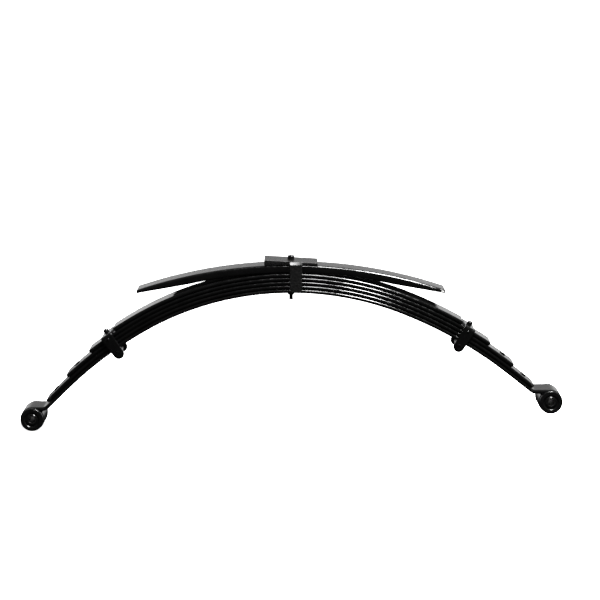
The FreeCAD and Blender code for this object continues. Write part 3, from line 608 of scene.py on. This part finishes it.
def black_paint(name, gloss=0.14, peel=0.02, grit=0.008, tone=0.002, bends=False):
    """Black enamel over mill scale: blotchy tone, orange peel, fine grit and duller patches."""
    material, tree, shader, where = new_finish(name, bends)
    blotch = spots(tree, where, 35, detail=4)
    dull = spots(tree, where, 9, detail=5, roughness=0.65)
    swell = spots(tree, where, 6, detail=2)
    grain = spots(tree, where, 0.9, detail=4, roughness=0.7)
    colour = shades(tree, blotch, (0.3, (tone * 0.6,) * 3), (0.62, (tone,) * 3),
                    (0.75, (tone * 1.8, tone * 1.7, tone * 1.6)))
    finish_shader(tree, shader, Base_Color=colour,
                  Roughness=spread(tree, dull, 0.4, 0.7, gloss - 0.03, gloss + 0.12),
                  Specular_IOR_Level=PAINT_SHINE,
                  Normal=bumps(tree, (swell, peel), (grain, grit)))
    return material


def rest_sizes(tree):
    """Place on the unbent spring, and its distances along the spring and across it."""
    where = add(tree, "ShaderNodeAttribute", attribute_name="rest").outputs["Vector"]
    split = add(tree, "ShaderNodeSeparateXYZ", {"Vector": where})
    aside = calc(tree, "ABSOLUTE", split.outputs["Y"])
    return where, split.outputs["X"], aside


def matt_where(material, mask):
    """Make paint matt where the mask is one."""
    tree = material.node_tree
    shader = tree.nodes["Principled BSDF"]
    glossy = shader.inputs["Roughness"].links[0].from_socket
    rough = calc(tree, "MAXIMUM", glossy, mask)
    finish_shader(tree, shader, Roughness=rough,
                  Specular_IOR_Level=spread(tree, mask, 0.0, 1.0, PAINT_SHINE, MATT_SHINE))


def leaf_paint(name):
    """Paint of the pack leaves, worn matt along the edges of the rolled eyes."""
    material = black_paint(name, bends=True)
    tree = material.node_tree
    _, along, aside = rest_sizes(tree)
    eye = spread(tree, calc(tree, "ABSOLUTE", along), *EYE_START, 0.0, 1.0)
    edge = spread(tree, aside, *EYE_EDGE, 0.0, 1.0)
    matt_where(material, calc(tree, "MULTIPLY", eye, edge))
    return material


def overload_shadow_paint(name):
    """Paint of the leaf under the overload leaf, with that leaf's shadow painted on: matt and without shine
    on its face between the overload leaf's tips.
    """
    material = black_paint(name, bends=True)
    tree = material.node_tree
    where, along, aside = rest_sizes(tree)
    middle = spread(tree, spots(tree, where, 12), 0.3, 0.7, *OVERLOAD_SHADOW_SHIFT)
    reach = calc(tree, "ABSOLUTE", calc(tree, "SUBTRACT", along, middle))
    under = spread(tree, reach, *OVERLOAD_SHADOW_END, 1.0, 0.0)
    inside = spread(tree, aside, *OVERLOAD_SHADOW_EDGE, 1.0, 0.0)
    matt_where(material, calc(tree, "MULTIPLY", under, inside))
    return material


def pale_spot_paint(name):
    """Paint of the overload leaf, with a pale spot at its right tip's near corner."""
    material = black_paint(name, peel=0.15, grit=0.03)
    tree = material.node_tree
    shader = tree.nodes["Principled BSDF"]
    where = add(tree, "ShaderNodeTexCoord").outputs["Object"]
    away = add(tree, "ShaderNodeVectorMath", {0: where, 1: PALE_SPOT_PLACE}, operation="DISTANCE").outputs["Value"]
    ragged = calc(tree, "ADD", away, spread(tree, spots(tree, where, 3), 0.3, 0.7, *RAGGED))
    pale_spot = spread(tree, ragged, *PALE_SPOT_EDGE, 1.0, 0.0)
    paint = shader.inputs["Base Color"].links[0].from_socket
    finish_shader(tree, shader, Base_Color=mixed(tree, pale_spot, paint, PALE_SPOT_COLOUR))
    return material


def rough_scale(name):
    """Forged wedge under thin paint: coarse pits and speckles."""
    material, tree, shader, where = new_finish(name)
    pits = spots(tree, where, 2.6, detail=5, roughness=0.7)
    speck = spots(tree, where, 1.1, detail=2)
    colour = shades(tree, speck, (0.35, (0.002,) * 3), (0.6, (0.004,) * 3), (0.75, (0.03, 0.029, 0.027)))
    finish_shader(tree, shader, Base_Color=colour, Roughness=spread(tree, pits, 0.35, 0.65, 0.2, 0.42),
                  Specular_IOR_Level=0.45, Normal=bumps(tree, (pits, 0.12), (speck, 0.03)))
    return material


def label_film(name):
    """Matt dark film, printed with nothing, scuffed and a little crinkled, with a pale highlight painted
    along its top that fades towards its right end.
    """
    material, tree, shader, where = new_finish(name)
    crinkle = spots(tree, where, 3.5, detail=3)
    scuff = spots(tree, where, 3.2, detail=4, roughness=0.8)
    film = shades(tree, scuff, (0.42, (0.0002,) * 3), (0.55, (0.002,) * 3), (0.66, (0.014,) * 3))
    split = add(tree, "ShaderNodeSeparateXYZ", {"Vector": where})
    ragged = calc(tree, "ADD", split.outputs["Z"], spread(tree, crinkle, 0.3, 0.7, *RAGGED))
    # pale painted highlight along the top, fading towards the right
    near_top = spread(tree, ragged, *LABEL_HIGHLIGHT_EDGE, 0.0, 1.0)
    fading = spread(tree, split.outputs["X"], *LABEL_HIGHLIGHT_FADE, 1.0, 0.15)
    painted_highlight = calc(tree, "MULTIPLY", near_top, fading)
    finish_shader(tree, shader, Base_Color=mixed(tree, painted_highlight, film, LABEL_HIGHLIGHT_COLOUR),
                  Roughness=spread(tree, scuff, 0.35, 0.65, 0.5, 0.75), Specular_IOR_Level=0.15,
                  Normal=bumps(tree, (crinkle, 0.25), (scuff, 0.05)))
    return material


def moulded(name, tone, roughness, shine):
    """Moulded black plastic: faint flow marks and a fine mould grain."""
    material, tree, shader, where = new_finish(name)
    flow = spots(tree, where, 9, detail=2)
    grain = spots(tree, where, 0.5, detail=2)
    colour = shades(tree, flow, (0.35, (tone * 0.8,) * 3), (0.65, (tone * 1.3,) * 3))
    finish_shader(tree, shader, Base_Color=colour,
                  Roughness=spread(tree, grain, 0.35, 0.65, roughness, roughness + 0.12),
                  Specular_IOR_Level=shine, Normal=bumps(tree, (grain, 0.012)))
    return material


def dark_steel(name):
    """Phosphated steel tube: dark, with turning marks round its axis."""
    material, tree, shader, where = new_finish(name)
    split = add(tree, "ShaderNodeSeparateXYZ", {"Vector": where})
    marks = add(tree, "ShaderNodeTexNoise", {"W": split.outputs["Z"], "Scale": 2500.0, "Detail": 2.0},
                noise_dimensions="1D").outputs[0]
    stain = spots(tree, where, 7, detail=4)
    colour = shades(tree, stain, (0.35, (0.008, 0.008, 0.0085)), (0.65, (0.03, 0.0295, 0.0285)))
    finish_shader(tree, shader, Base_Color=colour, Metallic=0.8,
                  Roughness=spread(tree, stain, 0.35, 0.65, 0.32, 0.5), Normal=bumps(tree, (marks, 0.01)))
    return material


FINISHES = {
    "spring_steel": leaf_paint("spring_steel_paint"),
    # fifth leaf's paint, with the overload leaf's shadow painted on
    "overload_shadow_steel": overload_shadow_paint("spring_steel_paint_overload_shadow"),
    "overload_steel": pale_spot_paint("overload_steel_paint"),
    "clip_steel": black_paint("clip_steel_paint", gloss=0.16, peel=0.03),
    "bolt_steel": black_paint("bolt_steel_paint", gloss=0.2, grit=0.02),
    "shim_steel": rough_scale("shim_steel_scale"),
    "sleeve_steel": dark_steel("sleeve_steel_phosphate"),
    "bush_plastic": moulded("bush_plastic_moulded", 0.0025, 0.16, 0.4),
    "plug_plastic": moulded("plug_plastic_moulded", 0.002, 0.8, 0.03),
    "label_film": label_film("label_film_scuffed"),
}


# ---------------------------------------------------------------- pieces

def settle(piece, body, node, slot, finish=None):
    """The piece stands for a CAD node, rides on its body and takes its slot's finish, or another."""
    piece.data.materials.clear()
    piece.data.materials.append(FINISHES[finish or slot])
    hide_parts(node)
    if body:
        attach(piece, body)


def half_leaf(side, name):
    """One half of a pack leaf, from the bolt to its end, with its holes."""
    rise = leaf_rise(name)
    sign = SIDES[side]
    trim = 0 if name == "main_leaf" else CORNER_TRIM
    marks = [END_CHAMFER] if name == "main_leaf" else [CORNER_TRIM, END_CHAMFER]
    stations = walk(split_end(leaf_line(side, name), marks), rise + LEAF_THICK / 2)
    total = stations[-1][0]
    frames = []
    for distance, along, height, slope in stations:
        left = total - distance
        chamfer = max(0.0, END_CHAMFER - left)
        width = LEAF_WIDTH / 2 - max(0.0, trim - left) - chamfer
        centre = Vector((sign * along, 0, height - SEAT_HEIGHT))
        up = Vector((sign * math.sin(slope), 0, math.cos(slope)))
        frames.append((centre, Vector((0, sign, 0)), up, width, LEAF_THICK / 2 - chamfer))
    piece = sweep(f"{name}_{side}", frames, LEAF_ROUND, relief=((45, 0.12), (9, 0.1)))
    cutters = [drill(BOLT_HOLE_DIA, *STACK_HOLE)]
    if name in ("second_leaf", "third_leaf"):
        place = place_on(side, run_to_end(side, name) - PLUG_INSET, rise)
        cutters.append(drill(PLUG_DIA + HOLE_GAP, *LEAF_HOLE, place))
        cutters.append(drill(PLUG_FLANGE_DIA + HOLE_GAP, LEAF_HOLE[0], PLUG_FLANGE_HEIGHT + 0.1, place))
    if name == "fourth_leaf":
        cutters.append(drill(RIVET_DIA + HOLE_GAP, *LEAF_HOLE, place_on(side, CLIP_RUN[side], rise)))
    carve(piece, cutters)
    # the fifth leaf takes the paint with the overload leaf's painted shadow
    settle(piece, None, name, "spring_steel", "overload_shadow_steel" if name == "fifth_leaf" else None)
    remember_rest(piece)
    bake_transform(piece)


def remember_rest(piece):
    """Keep the unbent place of every point, so that the finish stays put when the leaf bends."""
    rest = piece.data.attributes.new("rest", "FLOAT_VECTOR", "POINT")
    places = [0.0] * (3 * len(piece.data.vertices))
    piece.data.vertices.foreach_get("co", places)
    rest.data.foreach_set("vector", places)


def overload_leaf():
    """Thick second-stage leaf with ragged sheared edges, tapered to its tips."""
    bottom_radius = OVERLOAD_RADIUS - OVERLOAD_THICK
    centre_z = PACK_HEIGHT - SEAT_HEIGHT - bottom_radius
    knee_z = centre_z + math.sqrt(bottom_radius ** 2 - OVERLOAD_KNEE ** 2)
    tip_z = centre_z + math.sqrt(OVERLOAD_RADIUS ** 2 - OVERLOAD_HALF ** 2) - OVERLOAD_TIP
    frames = []
    for x in bar_marks(OVERLOAD_HALF, round(2 * OVERLOAD_HALF / OVERLOAD_STEP), END_CHAMFER):
        top = centre_z + math.sqrt(OVERLOAD_RADIUS ** 2 - x * x)
        foot = centre_z + math.sqrt(bottom_radius ** 2 - x * x)
        if abs(x) >= OVERLOAD_KNEE:
            foot = knee_z + (tip_z - knee_z) * (abs(x) - OVERLOAD_KNEE) / (OVERLOAD_HALF - OVERLOAD_KNEE)
        frames.append(level_station(x, foot, top, OVERLOAD_HALF, LEAF_WIDTH / 2, END_CHAMFER))
    piece = sweep("overload_leaf_bar", frames, OVERLOAD_ROUND, relief=((50, 0.15), (7, 0.35), (3, 0.2)))
    carve(piece, [drill(BOLT_HOLE_DIA, *STACK_HOLE)])
    settle(piece, "spring_pack", "overload_leaf", "overload_steel")


def taper_shim():
    """Wedge on the overload leaf, thicker at the left, with a spot face for the bolt's head."""
    base = PACK_HEIGHT + OVERLOAD_THICK + SHIM_GAP - SEAT_HEIGHT
    radius = OVERLOAD_RADIUS + SHIM_GAP
    frames = []
    for x in bar_marks(SHIM_HALF, SHIM_STEPS, SHIM_EDGE):
        foot = base - radius + math.sqrt(radius ** 2 - x * x)
        top = base + (SHIM_LEFT + SHIM_RIGHT) / 2 + (SHIM_RIGHT - SHIM_LEFT) / 2 * x / SHIM_HALF
        frames.append(level_station(x, foot, top, SHIM_HALF, SHIM_WIDTH / 2, SHIM_EDGE))
    piece = sweep("taper_shim_wedge", frames, SHIM_EDGE, relief=((25, 0.1), (3, 0.25)), across=30)
    carve(piece, [drill(BOLT_HOLE_DIA, -50, 50), drill(SPOT_FACE_DIA, 0, 20)])
    settle(piece, "spring_pack", "taper_shim", "shim_steel")


def centre_bolt():
    """Bolt through the whole stack: rounded cylindrical head, threaded tail, hexagon nut."""
    shank = BOLT_DIA / 2
    head = eased([(shank, 0, 0), (BOLT_HEAD_DIA / 2, 0, 0.3), (BOLT_HEAD_DIA / 2, BOLT_HEAD_HEIGHT, 2.2),
                  (2.4, BOLT_HEAD_HEIGHT, 0.6), (1.0, BOLT_HEAD_HEIGHT - 0.5, 0)])
    rings = screw_end(shank, -SEAT_HEIGHT - BOLT_TAIL, BOLT_THREAD, 0.9)
    rings += [circle(r, z) for r, z in head]
    settle(loft("centre_bolt_forged", rings), "spring_pack", "centre_bolt", "bolt_steel")
    top = -SEAT_HEIGHT - 0.2
    settle(nut("centre_nut_hexagon", NUT_FLATS, top - NUT_HEIGHT, top, shank),
           "spring_pack", "centre_nut", "bolt_steel")


def side_label():
    """Blank film stuck on the near side of the stack."""
    foot = Vector((0, -(LEAF_WIDTH + LABEL_THICK) / 2 - LABEL_GAP, LABEL_BOTTOM - SEAT_HEIGHT))
    total = -foot.z - LABEL_DROP
    frames = []
    marks = [LABEL_ROUND * (1 - math.cos(math.radians(a))) for a in (8, 30, 50, 70, 90)]
    marks += [LABEL_ROUND + (total - 2 * LABEL_ROUND) * i / LABEL_STEPS for i in range(1, LABEL_STEPS)]
    marks += [total - m for m in reversed(marks[:5])]
    for distance in marks:
        from_end = max(0.0, LABEL_ROUND - min(distance, total - distance))
        width = LABEL_WIDTH / 2 - LABEL_ROUND + math.sqrt(LABEL_ROUND ** 2 - from_end ** 2)
        centre = foot + Vector((LABEL_CENTRE, 0, distance))
        frames.append((centre, Vector((-1, 0, 0)), Vector((0, -1, 0)), width, LABEL_THICK / 2))
    piece = sweep("side_label_film", frames, LABEL_THICK / 2, relief=((6, 0.12), (2, 0.06)), across=24)
    settle(piece, "spring_pack", "side_label", "label_film")


def strap_half_width(height):
    """Half width of the clip's strap at a height on its leg: square shoulders down to the round lobe."""
    crown = STRAP_BASE + STRAP_THICK
    rise = crown + CLIP_BOLT_DROP
    lean = math.atan(STRAP_WIDTH / 2 / rise) - math.asin(LOBE_RADIUS / math.hypot(STRAP_WIDTH / 2, rise))
    if height < -CLIP_BOLT_DROP - LOBE_RADIUS * math.sin(lean):
        return math.sqrt(max(LOBE_RADIUS ** 2 - (height + CLIP_BOLT_DROP) ** 2, 0.05))
    return STRAP_WIDTH / 2 - (crown - height) * math.tan(lean)


def strap_line():
    """Middle line of the bent strap from the near lobe's tip over to the crown's middle: (y, z, turn)."""
    leg = -(LEAF_WIDTH + STRAP_THICK) / 2 - STRAP_SIDE_GAP
    bend_y = leg + STRAP_BEND
    bend_z = STRAP_BASE + STRAP_THICK / 2 - STRAP_BEND
    leg_steps = 10
    crown_steps = 6
    line = [(leg, -CLIP_BOLT_DROP - LOBE_RADIUS * math.cos(math.radians(a)), 0)
            for a in (4, 15, 30, 45, 60, 75, 90)]
    line += [(leg, -CLIP_BOLT_DROP + (bend_z + CLIP_BOLT_DROP) * i / leg_steps, 0)
             for i in range(1, leg_steps)]
    for a in range(0, 91, 15):
        turn = math.radians(a)
        line.append((bend_y - STRAP_BEND * math.cos(turn), bend_z + STRAP_BEND * math.sin(turn), turn))
    line += [(bend_y * (1 - i / crown_steps), bend_z + STRAP_BEND, math.pi / 2)
             for i in range(1, crown_steps + 1)]
    return line


def clip_strap(side, place):
    """U-shaped strap bent round the pack, with a round lobe below each side."""
    near = strap_line()
    far = [(-y, z, math.pi - turn) for y, z, turn in reversed(near[:-1])]
    frames = []
    for y, z, turn in near + far:
        frames.append((Vector((0, y, z)), Vector((-1, 0, 0)), Vector((0, -math.cos(turn), math.sin(turn))),
                       strap_half_width(z), STRAP_THICK / 2))
    piece = sweep(f"{side}_clip_strap_bent", frames, 1.1, relief=((18, 0.15), (3, 0.1)), place=place)
    hole = across_spring(place, drop=CLIP_BOLT_DROP)
    carve(piece, [drill(SPACER_BORE, -60, 60, hole), drill(RIVET_DIA + HOLE_GAP, 20, 60, place)])
    carve(piece, [pressed_pip(place)], "UNION")
    settle(piece, f"{side}_end", f"{side}_clip_strap", "clip_steel")


def pressed_pip(place):
    """Small round pip that the bending tool leaves on the near leg, below the shoulder."""
    rise = STRAP_BASE + STRAP_THICK - PIP_DROP
    spot = across_spring(place, -(LEAF_WIDTH / 2 + STRAP_SIDE_GAP + STRAP_THICK), -rise)
    cap = dome(PIP_DIA / 2, PIP_HEIGHT, 0, (0, 15, 30, 45, 60, 75, 86))
    return turned("pip", [(PIP_DIA / 2, -1.5), *cap], spot, segments=PIP_SEGMENTS)


def clip_rivet(side, place):
    """Rivet that holds the strap on the fourth leaf, with a tall domed head."""
    low = leaf_rise("fourth_leaf") + 0.3
    seat = STRAP_BASE + STRAP_THICK
    waist = seat + RIVET_HEAD_HEIGHT / 2
    cap = dome(RIVET_HEAD_DIA / 2, RIVET_HEAD_HEIGHT / 2, waist, (0, 12, 24, 36, 48, 60, 70, 80, 87))
    outline = [(RIVET_DIA / 2 - 0.4, low), (RIVET_DIA / 2, low + 0.4), (RIVET_DIA / 2, seat),
               (RIVET_HEAD_DIA / 2 - 0.4, seat), (RIVET_HEAD_DIA / 2, seat + 0.4), *cap]
    settle(turned(f"{side}_clip_rivet_domed", outline, place),
           f"{side}_end", f"{side}_clip_rivet", "clip_steel")


def clip_bolt(side, place):
    """Cross bolt with its head on the near side, its nut on the far side and the spacer tube between."""
    leg = LEAF_WIDTH / 2 + STRAP_SIDE_GAP + STRAP_THICK
    shank = CLIP_BOLT_DIA / 2
    reach = 2 * leg + CLIP_NUT_HEIGHT + 3
    body = f"{side}_end"
    rings = screw_end(shank, -reach, CLIP_THREAD, 0.8)
    rings += [circle(shank, -0.2)]
    rings += hexagon(CLIP_FLATS, 0, CLIP_HEAD_HEIGHT, both_ends=False)
    dish = ((0.72, 0.0), (0.66, 0.25), (0.1, 0.25))
    rings += [circle(CLIP_FLATS / 2 * share, CLIP_HEAD_HEIGHT - depth) for share, depth in dish]
    near = across_spring(place, -leg - 0.1, CLIP_BOLT_DROP)
    settle(loft(f"{side}_clip_bolt_hexagon", rings, near), body, f"{side}_clip_bolt", "clip_steel")

    far = across_spring(place, leg + CLIP_NUT_HEIGHT + 0.1, CLIP_BOLT_DROP)
    settle(nut(f"{side}_clip_nut_hexagon", CLIP_FLATS, 0, CLIP_NUT_HEIGHT, shank, far),
           body, f"{side}_clip_nut", "clip_steel")

    half = LEAF_WIDTH / 2 + STRAP_SIDE_GAP - 0.1
    middle = across_spring(place, drop=CLIP_BOLT_DROP)
    settle(tube(f"{side}_clip_spacer_tube", SPACER_BORE, SPACER_DIA, half, 0.4, middle),
           body, f"{side}_clip_spacer", "clip_steel")


def tip_plug(side, name):
    """Wear plug: wide foot under the leaf, stem through it, and a dimpled head on its top."""
    place = place_on(side, run_to_end(side, name) - PLUG_INSET, leaf_rise(name))
    seat = LEAF_THICK + 0.1
    head = seat + PLUG_HEAD_HEIGHT
    outline = eased([(1, 0, 0), (PLUG_FLANGE_DIA / 2, 0, 0.5), (PLUG_FLANGE_DIA / 2, PLUG_FLANGE_HEIGHT, 0.4),
                     (PLUG_DIA / 2, PLUG_FLANGE_HEIGHT, 0), (PLUG_DIA / 2, seat, 0),
                     (PLUG_HEAD_DIA / 2, seat, 0.3), (PLUG_HEAD_DIA / 2, head, 0.9),
                     (3.2, head, 0.4), (2.6, head - 0.8, 0.4), (0.4, head - 0.8, 0)])
    node = f"{name}_{side}_plug"
    settle(turned(f"{node}_moulded", outline, place), f"{side}_end", node, "plug_plastic")


def eye_bushes(side):
    """Flanged bush halves pressed in from both sides, round the longer steel sleeve."""
    bore = SLEEVE_DIA / 2 + SLEEVE_FIT
    face = LEAF_WIDTH / 2 + 0.1
    outer = face + FLANGE_THICK
    groove_floor = outer - GROOVE_DEPTH
    inner_rim, inner_floor, outer_floor, outer_rim = GROOVE_RADII
    outline = eased([(bore, face - BUSH_LENGTH, 0.6), (BUSH_DIA / 2, face - BUSH_LENGTH, 1.2),
                     (BUSH_DIA / 2, face, 0), (FLANGE_DIA / 2, face, 0.6), (FLANGE_DIA / 2, outer, 2.2),
                     (outer_rim, outer, 0.6), (outer_floor, groove_floor, 1.2),
                     (inner_floor, groove_floor, 1.2), (inner_rim, outer, 0.6),
                     (bore, outer, 1.2)], hollow=True)
    for end, towards in (("near", -1), ("far", 1)):
        place = across_spring(eye_place(side), towards=towards)
        settle(turned(f"{side}_{end}_bush_moulded", outline, place, hollow=True, segments=FLANGE_SEGMENTS),
               f"{side}_end", f"{side}_{end}_bush", "bush_plastic")
    middle = across_spring(eye_place(side))
    settle(tube(f"{side}_sleeve_tube", SLEEVE_BORE, SLEEVE_DIA, SLEEVE_LENGTH / 2, 0.6, middle),
           f"{side}_bracket_sleeve", f"{side}_sleeve", "sleeve_steel")


# ---------------------------------------------------------------- camera, floor and light

def camera():
    """Camera at the viewing angle: in front, slightly above, long lens."""
    data = bpy.data.cameras.new("camera")
    data.sensor_width = CAMERA_SENSOR
    data.lens = CAMERA_LENS
    data.clip_end = CAMERA_REACH
    viewer = bpy.data.objects.new("camera", data)
    viewer.location = CAMERA_SPOT
    viewer.rotation_euler = (math.radians(CAMERA_TILT), 0, 0)
    bpy.context.scene.collection.objects.link(viewer)
    bpy.context.scene.camera = viewer


def floor():
    """Plain white floor under the lower eye, wide enough to fill the view; it isn't mirrored in the
    paint and throws no light on it."""
    level = cad_low.z - FLOOR_DROP
    corners = [(sx * FLOOR_HALF, sy * FLOOR_HALF, level) for sx, sy in ((-1, -1), (1, -1), (1, 1), (-1, 1))]
    mesh = bpy.data.meshes.new("floor")
    mesh.from_pydata(corners, [], [(0, 1, 2, 3)])
    plane = bpy.data.objects.new("floor", mesh)
    bpy.context.scene.collection.objects.link(plane)
    material = bpy.data.materials.new("floor_white")
    material.use_nodes = True
    shader = material.node_tree.nodes["Principled BSDF"]
    finish_shader(material.node_tree, shader, Base_Color=(0.9, 0.9, 0.9, 1), Emission_Color=(1, 1, 1, 1),
                  Emission_Strength=1.0, Roughness=0.9)
    mesh.materials.append(material)
    plane.visible_glossy = False
    plane.visible_diffuse = False


def surroundings():
    """Studio: a pale backdrop behind the spring, a dim ceiling and a dark room in front.  The camera
    itself sees plain white all round."""
    world = bpy.data.worlds.new("studio")
    bpy.context.scene.world = world
    world.use_nodes = True
    tree = world.node_tree
    background = tree.nodes["Background"]
    way = add(tree, "ShaderNodeTexCoord").outputs["Generated"]
    split = add(tree, "ShaderNodeSeparateXYZ", {"Vector": way})
    behind = spread(tree, split.outputs["Y"], 0.3, 0.8, 0.0, 1.0)
    height = calc(tree, "ABSOLUTE", split.outputs["Z"])
    near_horizon = shades(tree, height, (0.05, (1, 1, 1)), (0.2, (0.5, 0.5, 0.5)),
                          (0.4, (0.4, 0.4, 0.4)), (0.7, (0, 0, 0)))
    above = spread(tree, split.outputs["Z"], -0.2, -0.02, 0.03, 1.0)
    backdrop = calc(tree, "MULTIPLY", calc(tree, "MULTIPLY", behind, near_horizon), above)
    ceiling = spread(tree, split.outputs["Z"], 0.5, 0.9, 0.03, 0.12)
    glow = calc(tree, "MAXIMUM", backdrop, ceiling)
    seen = add(tree, "ShaderNodeLightPath").outputs["Is Camera Ray"]
    tree.links.new(calc(tree, "MAXIMUM", glow, seen), background.inputs["Strength"])
    background.inputs["Color"].default_value = (1, 1, 1, 1)


def soft_light(name, place, size, power):
    """Rectangular soft light facing the middle of the spring; size is along the spring and across it."""
    data = bpy.data.lights.new(name, "AREA")
    data.shape = "RECTANGLE"
    data.size, data.size_y = size
    data.energy = power
    light = bpy.data.objects.new(name, data)
    back = (Vector(place) - SPRING_MIDDLE).normalized()
    along = Vector((0, 1, 0)).cross(back).normalized()
    axes = Matrix((along, back.cross(along), back)).transposed()
    light.matrix_world = Matrix.Translation(place) @ axes.to_4x4()
    light.visible_camera = False
    bpy.context.scene.collection.objects.link(light)


def build():
    """Everything: view, floor and light first, then each side's pieces, then the ones at the middle."""
    camera()
    floor()
    surroundings()
    for name, light in LIGHTS.items():
        soft_light(name, **light)
    for side in SIDES:
        for name in PACK:
            half_leaf(side, name)
        for name in ("second_leaf", "third_leaf"):
            tip_plug(side, name)
        place = place_on(side, CLIP_RUN[side], 0)
        clip_strap(side, place)
        clip_rivet(side, place)
        clip_bolt(side, place)
        eye_bushes(side)
    overload_leaf()
    taper_shim()
    centre_bolt()
    side_label()


bpy.context.scene.view_settings.view_transform = "Standard"
build()
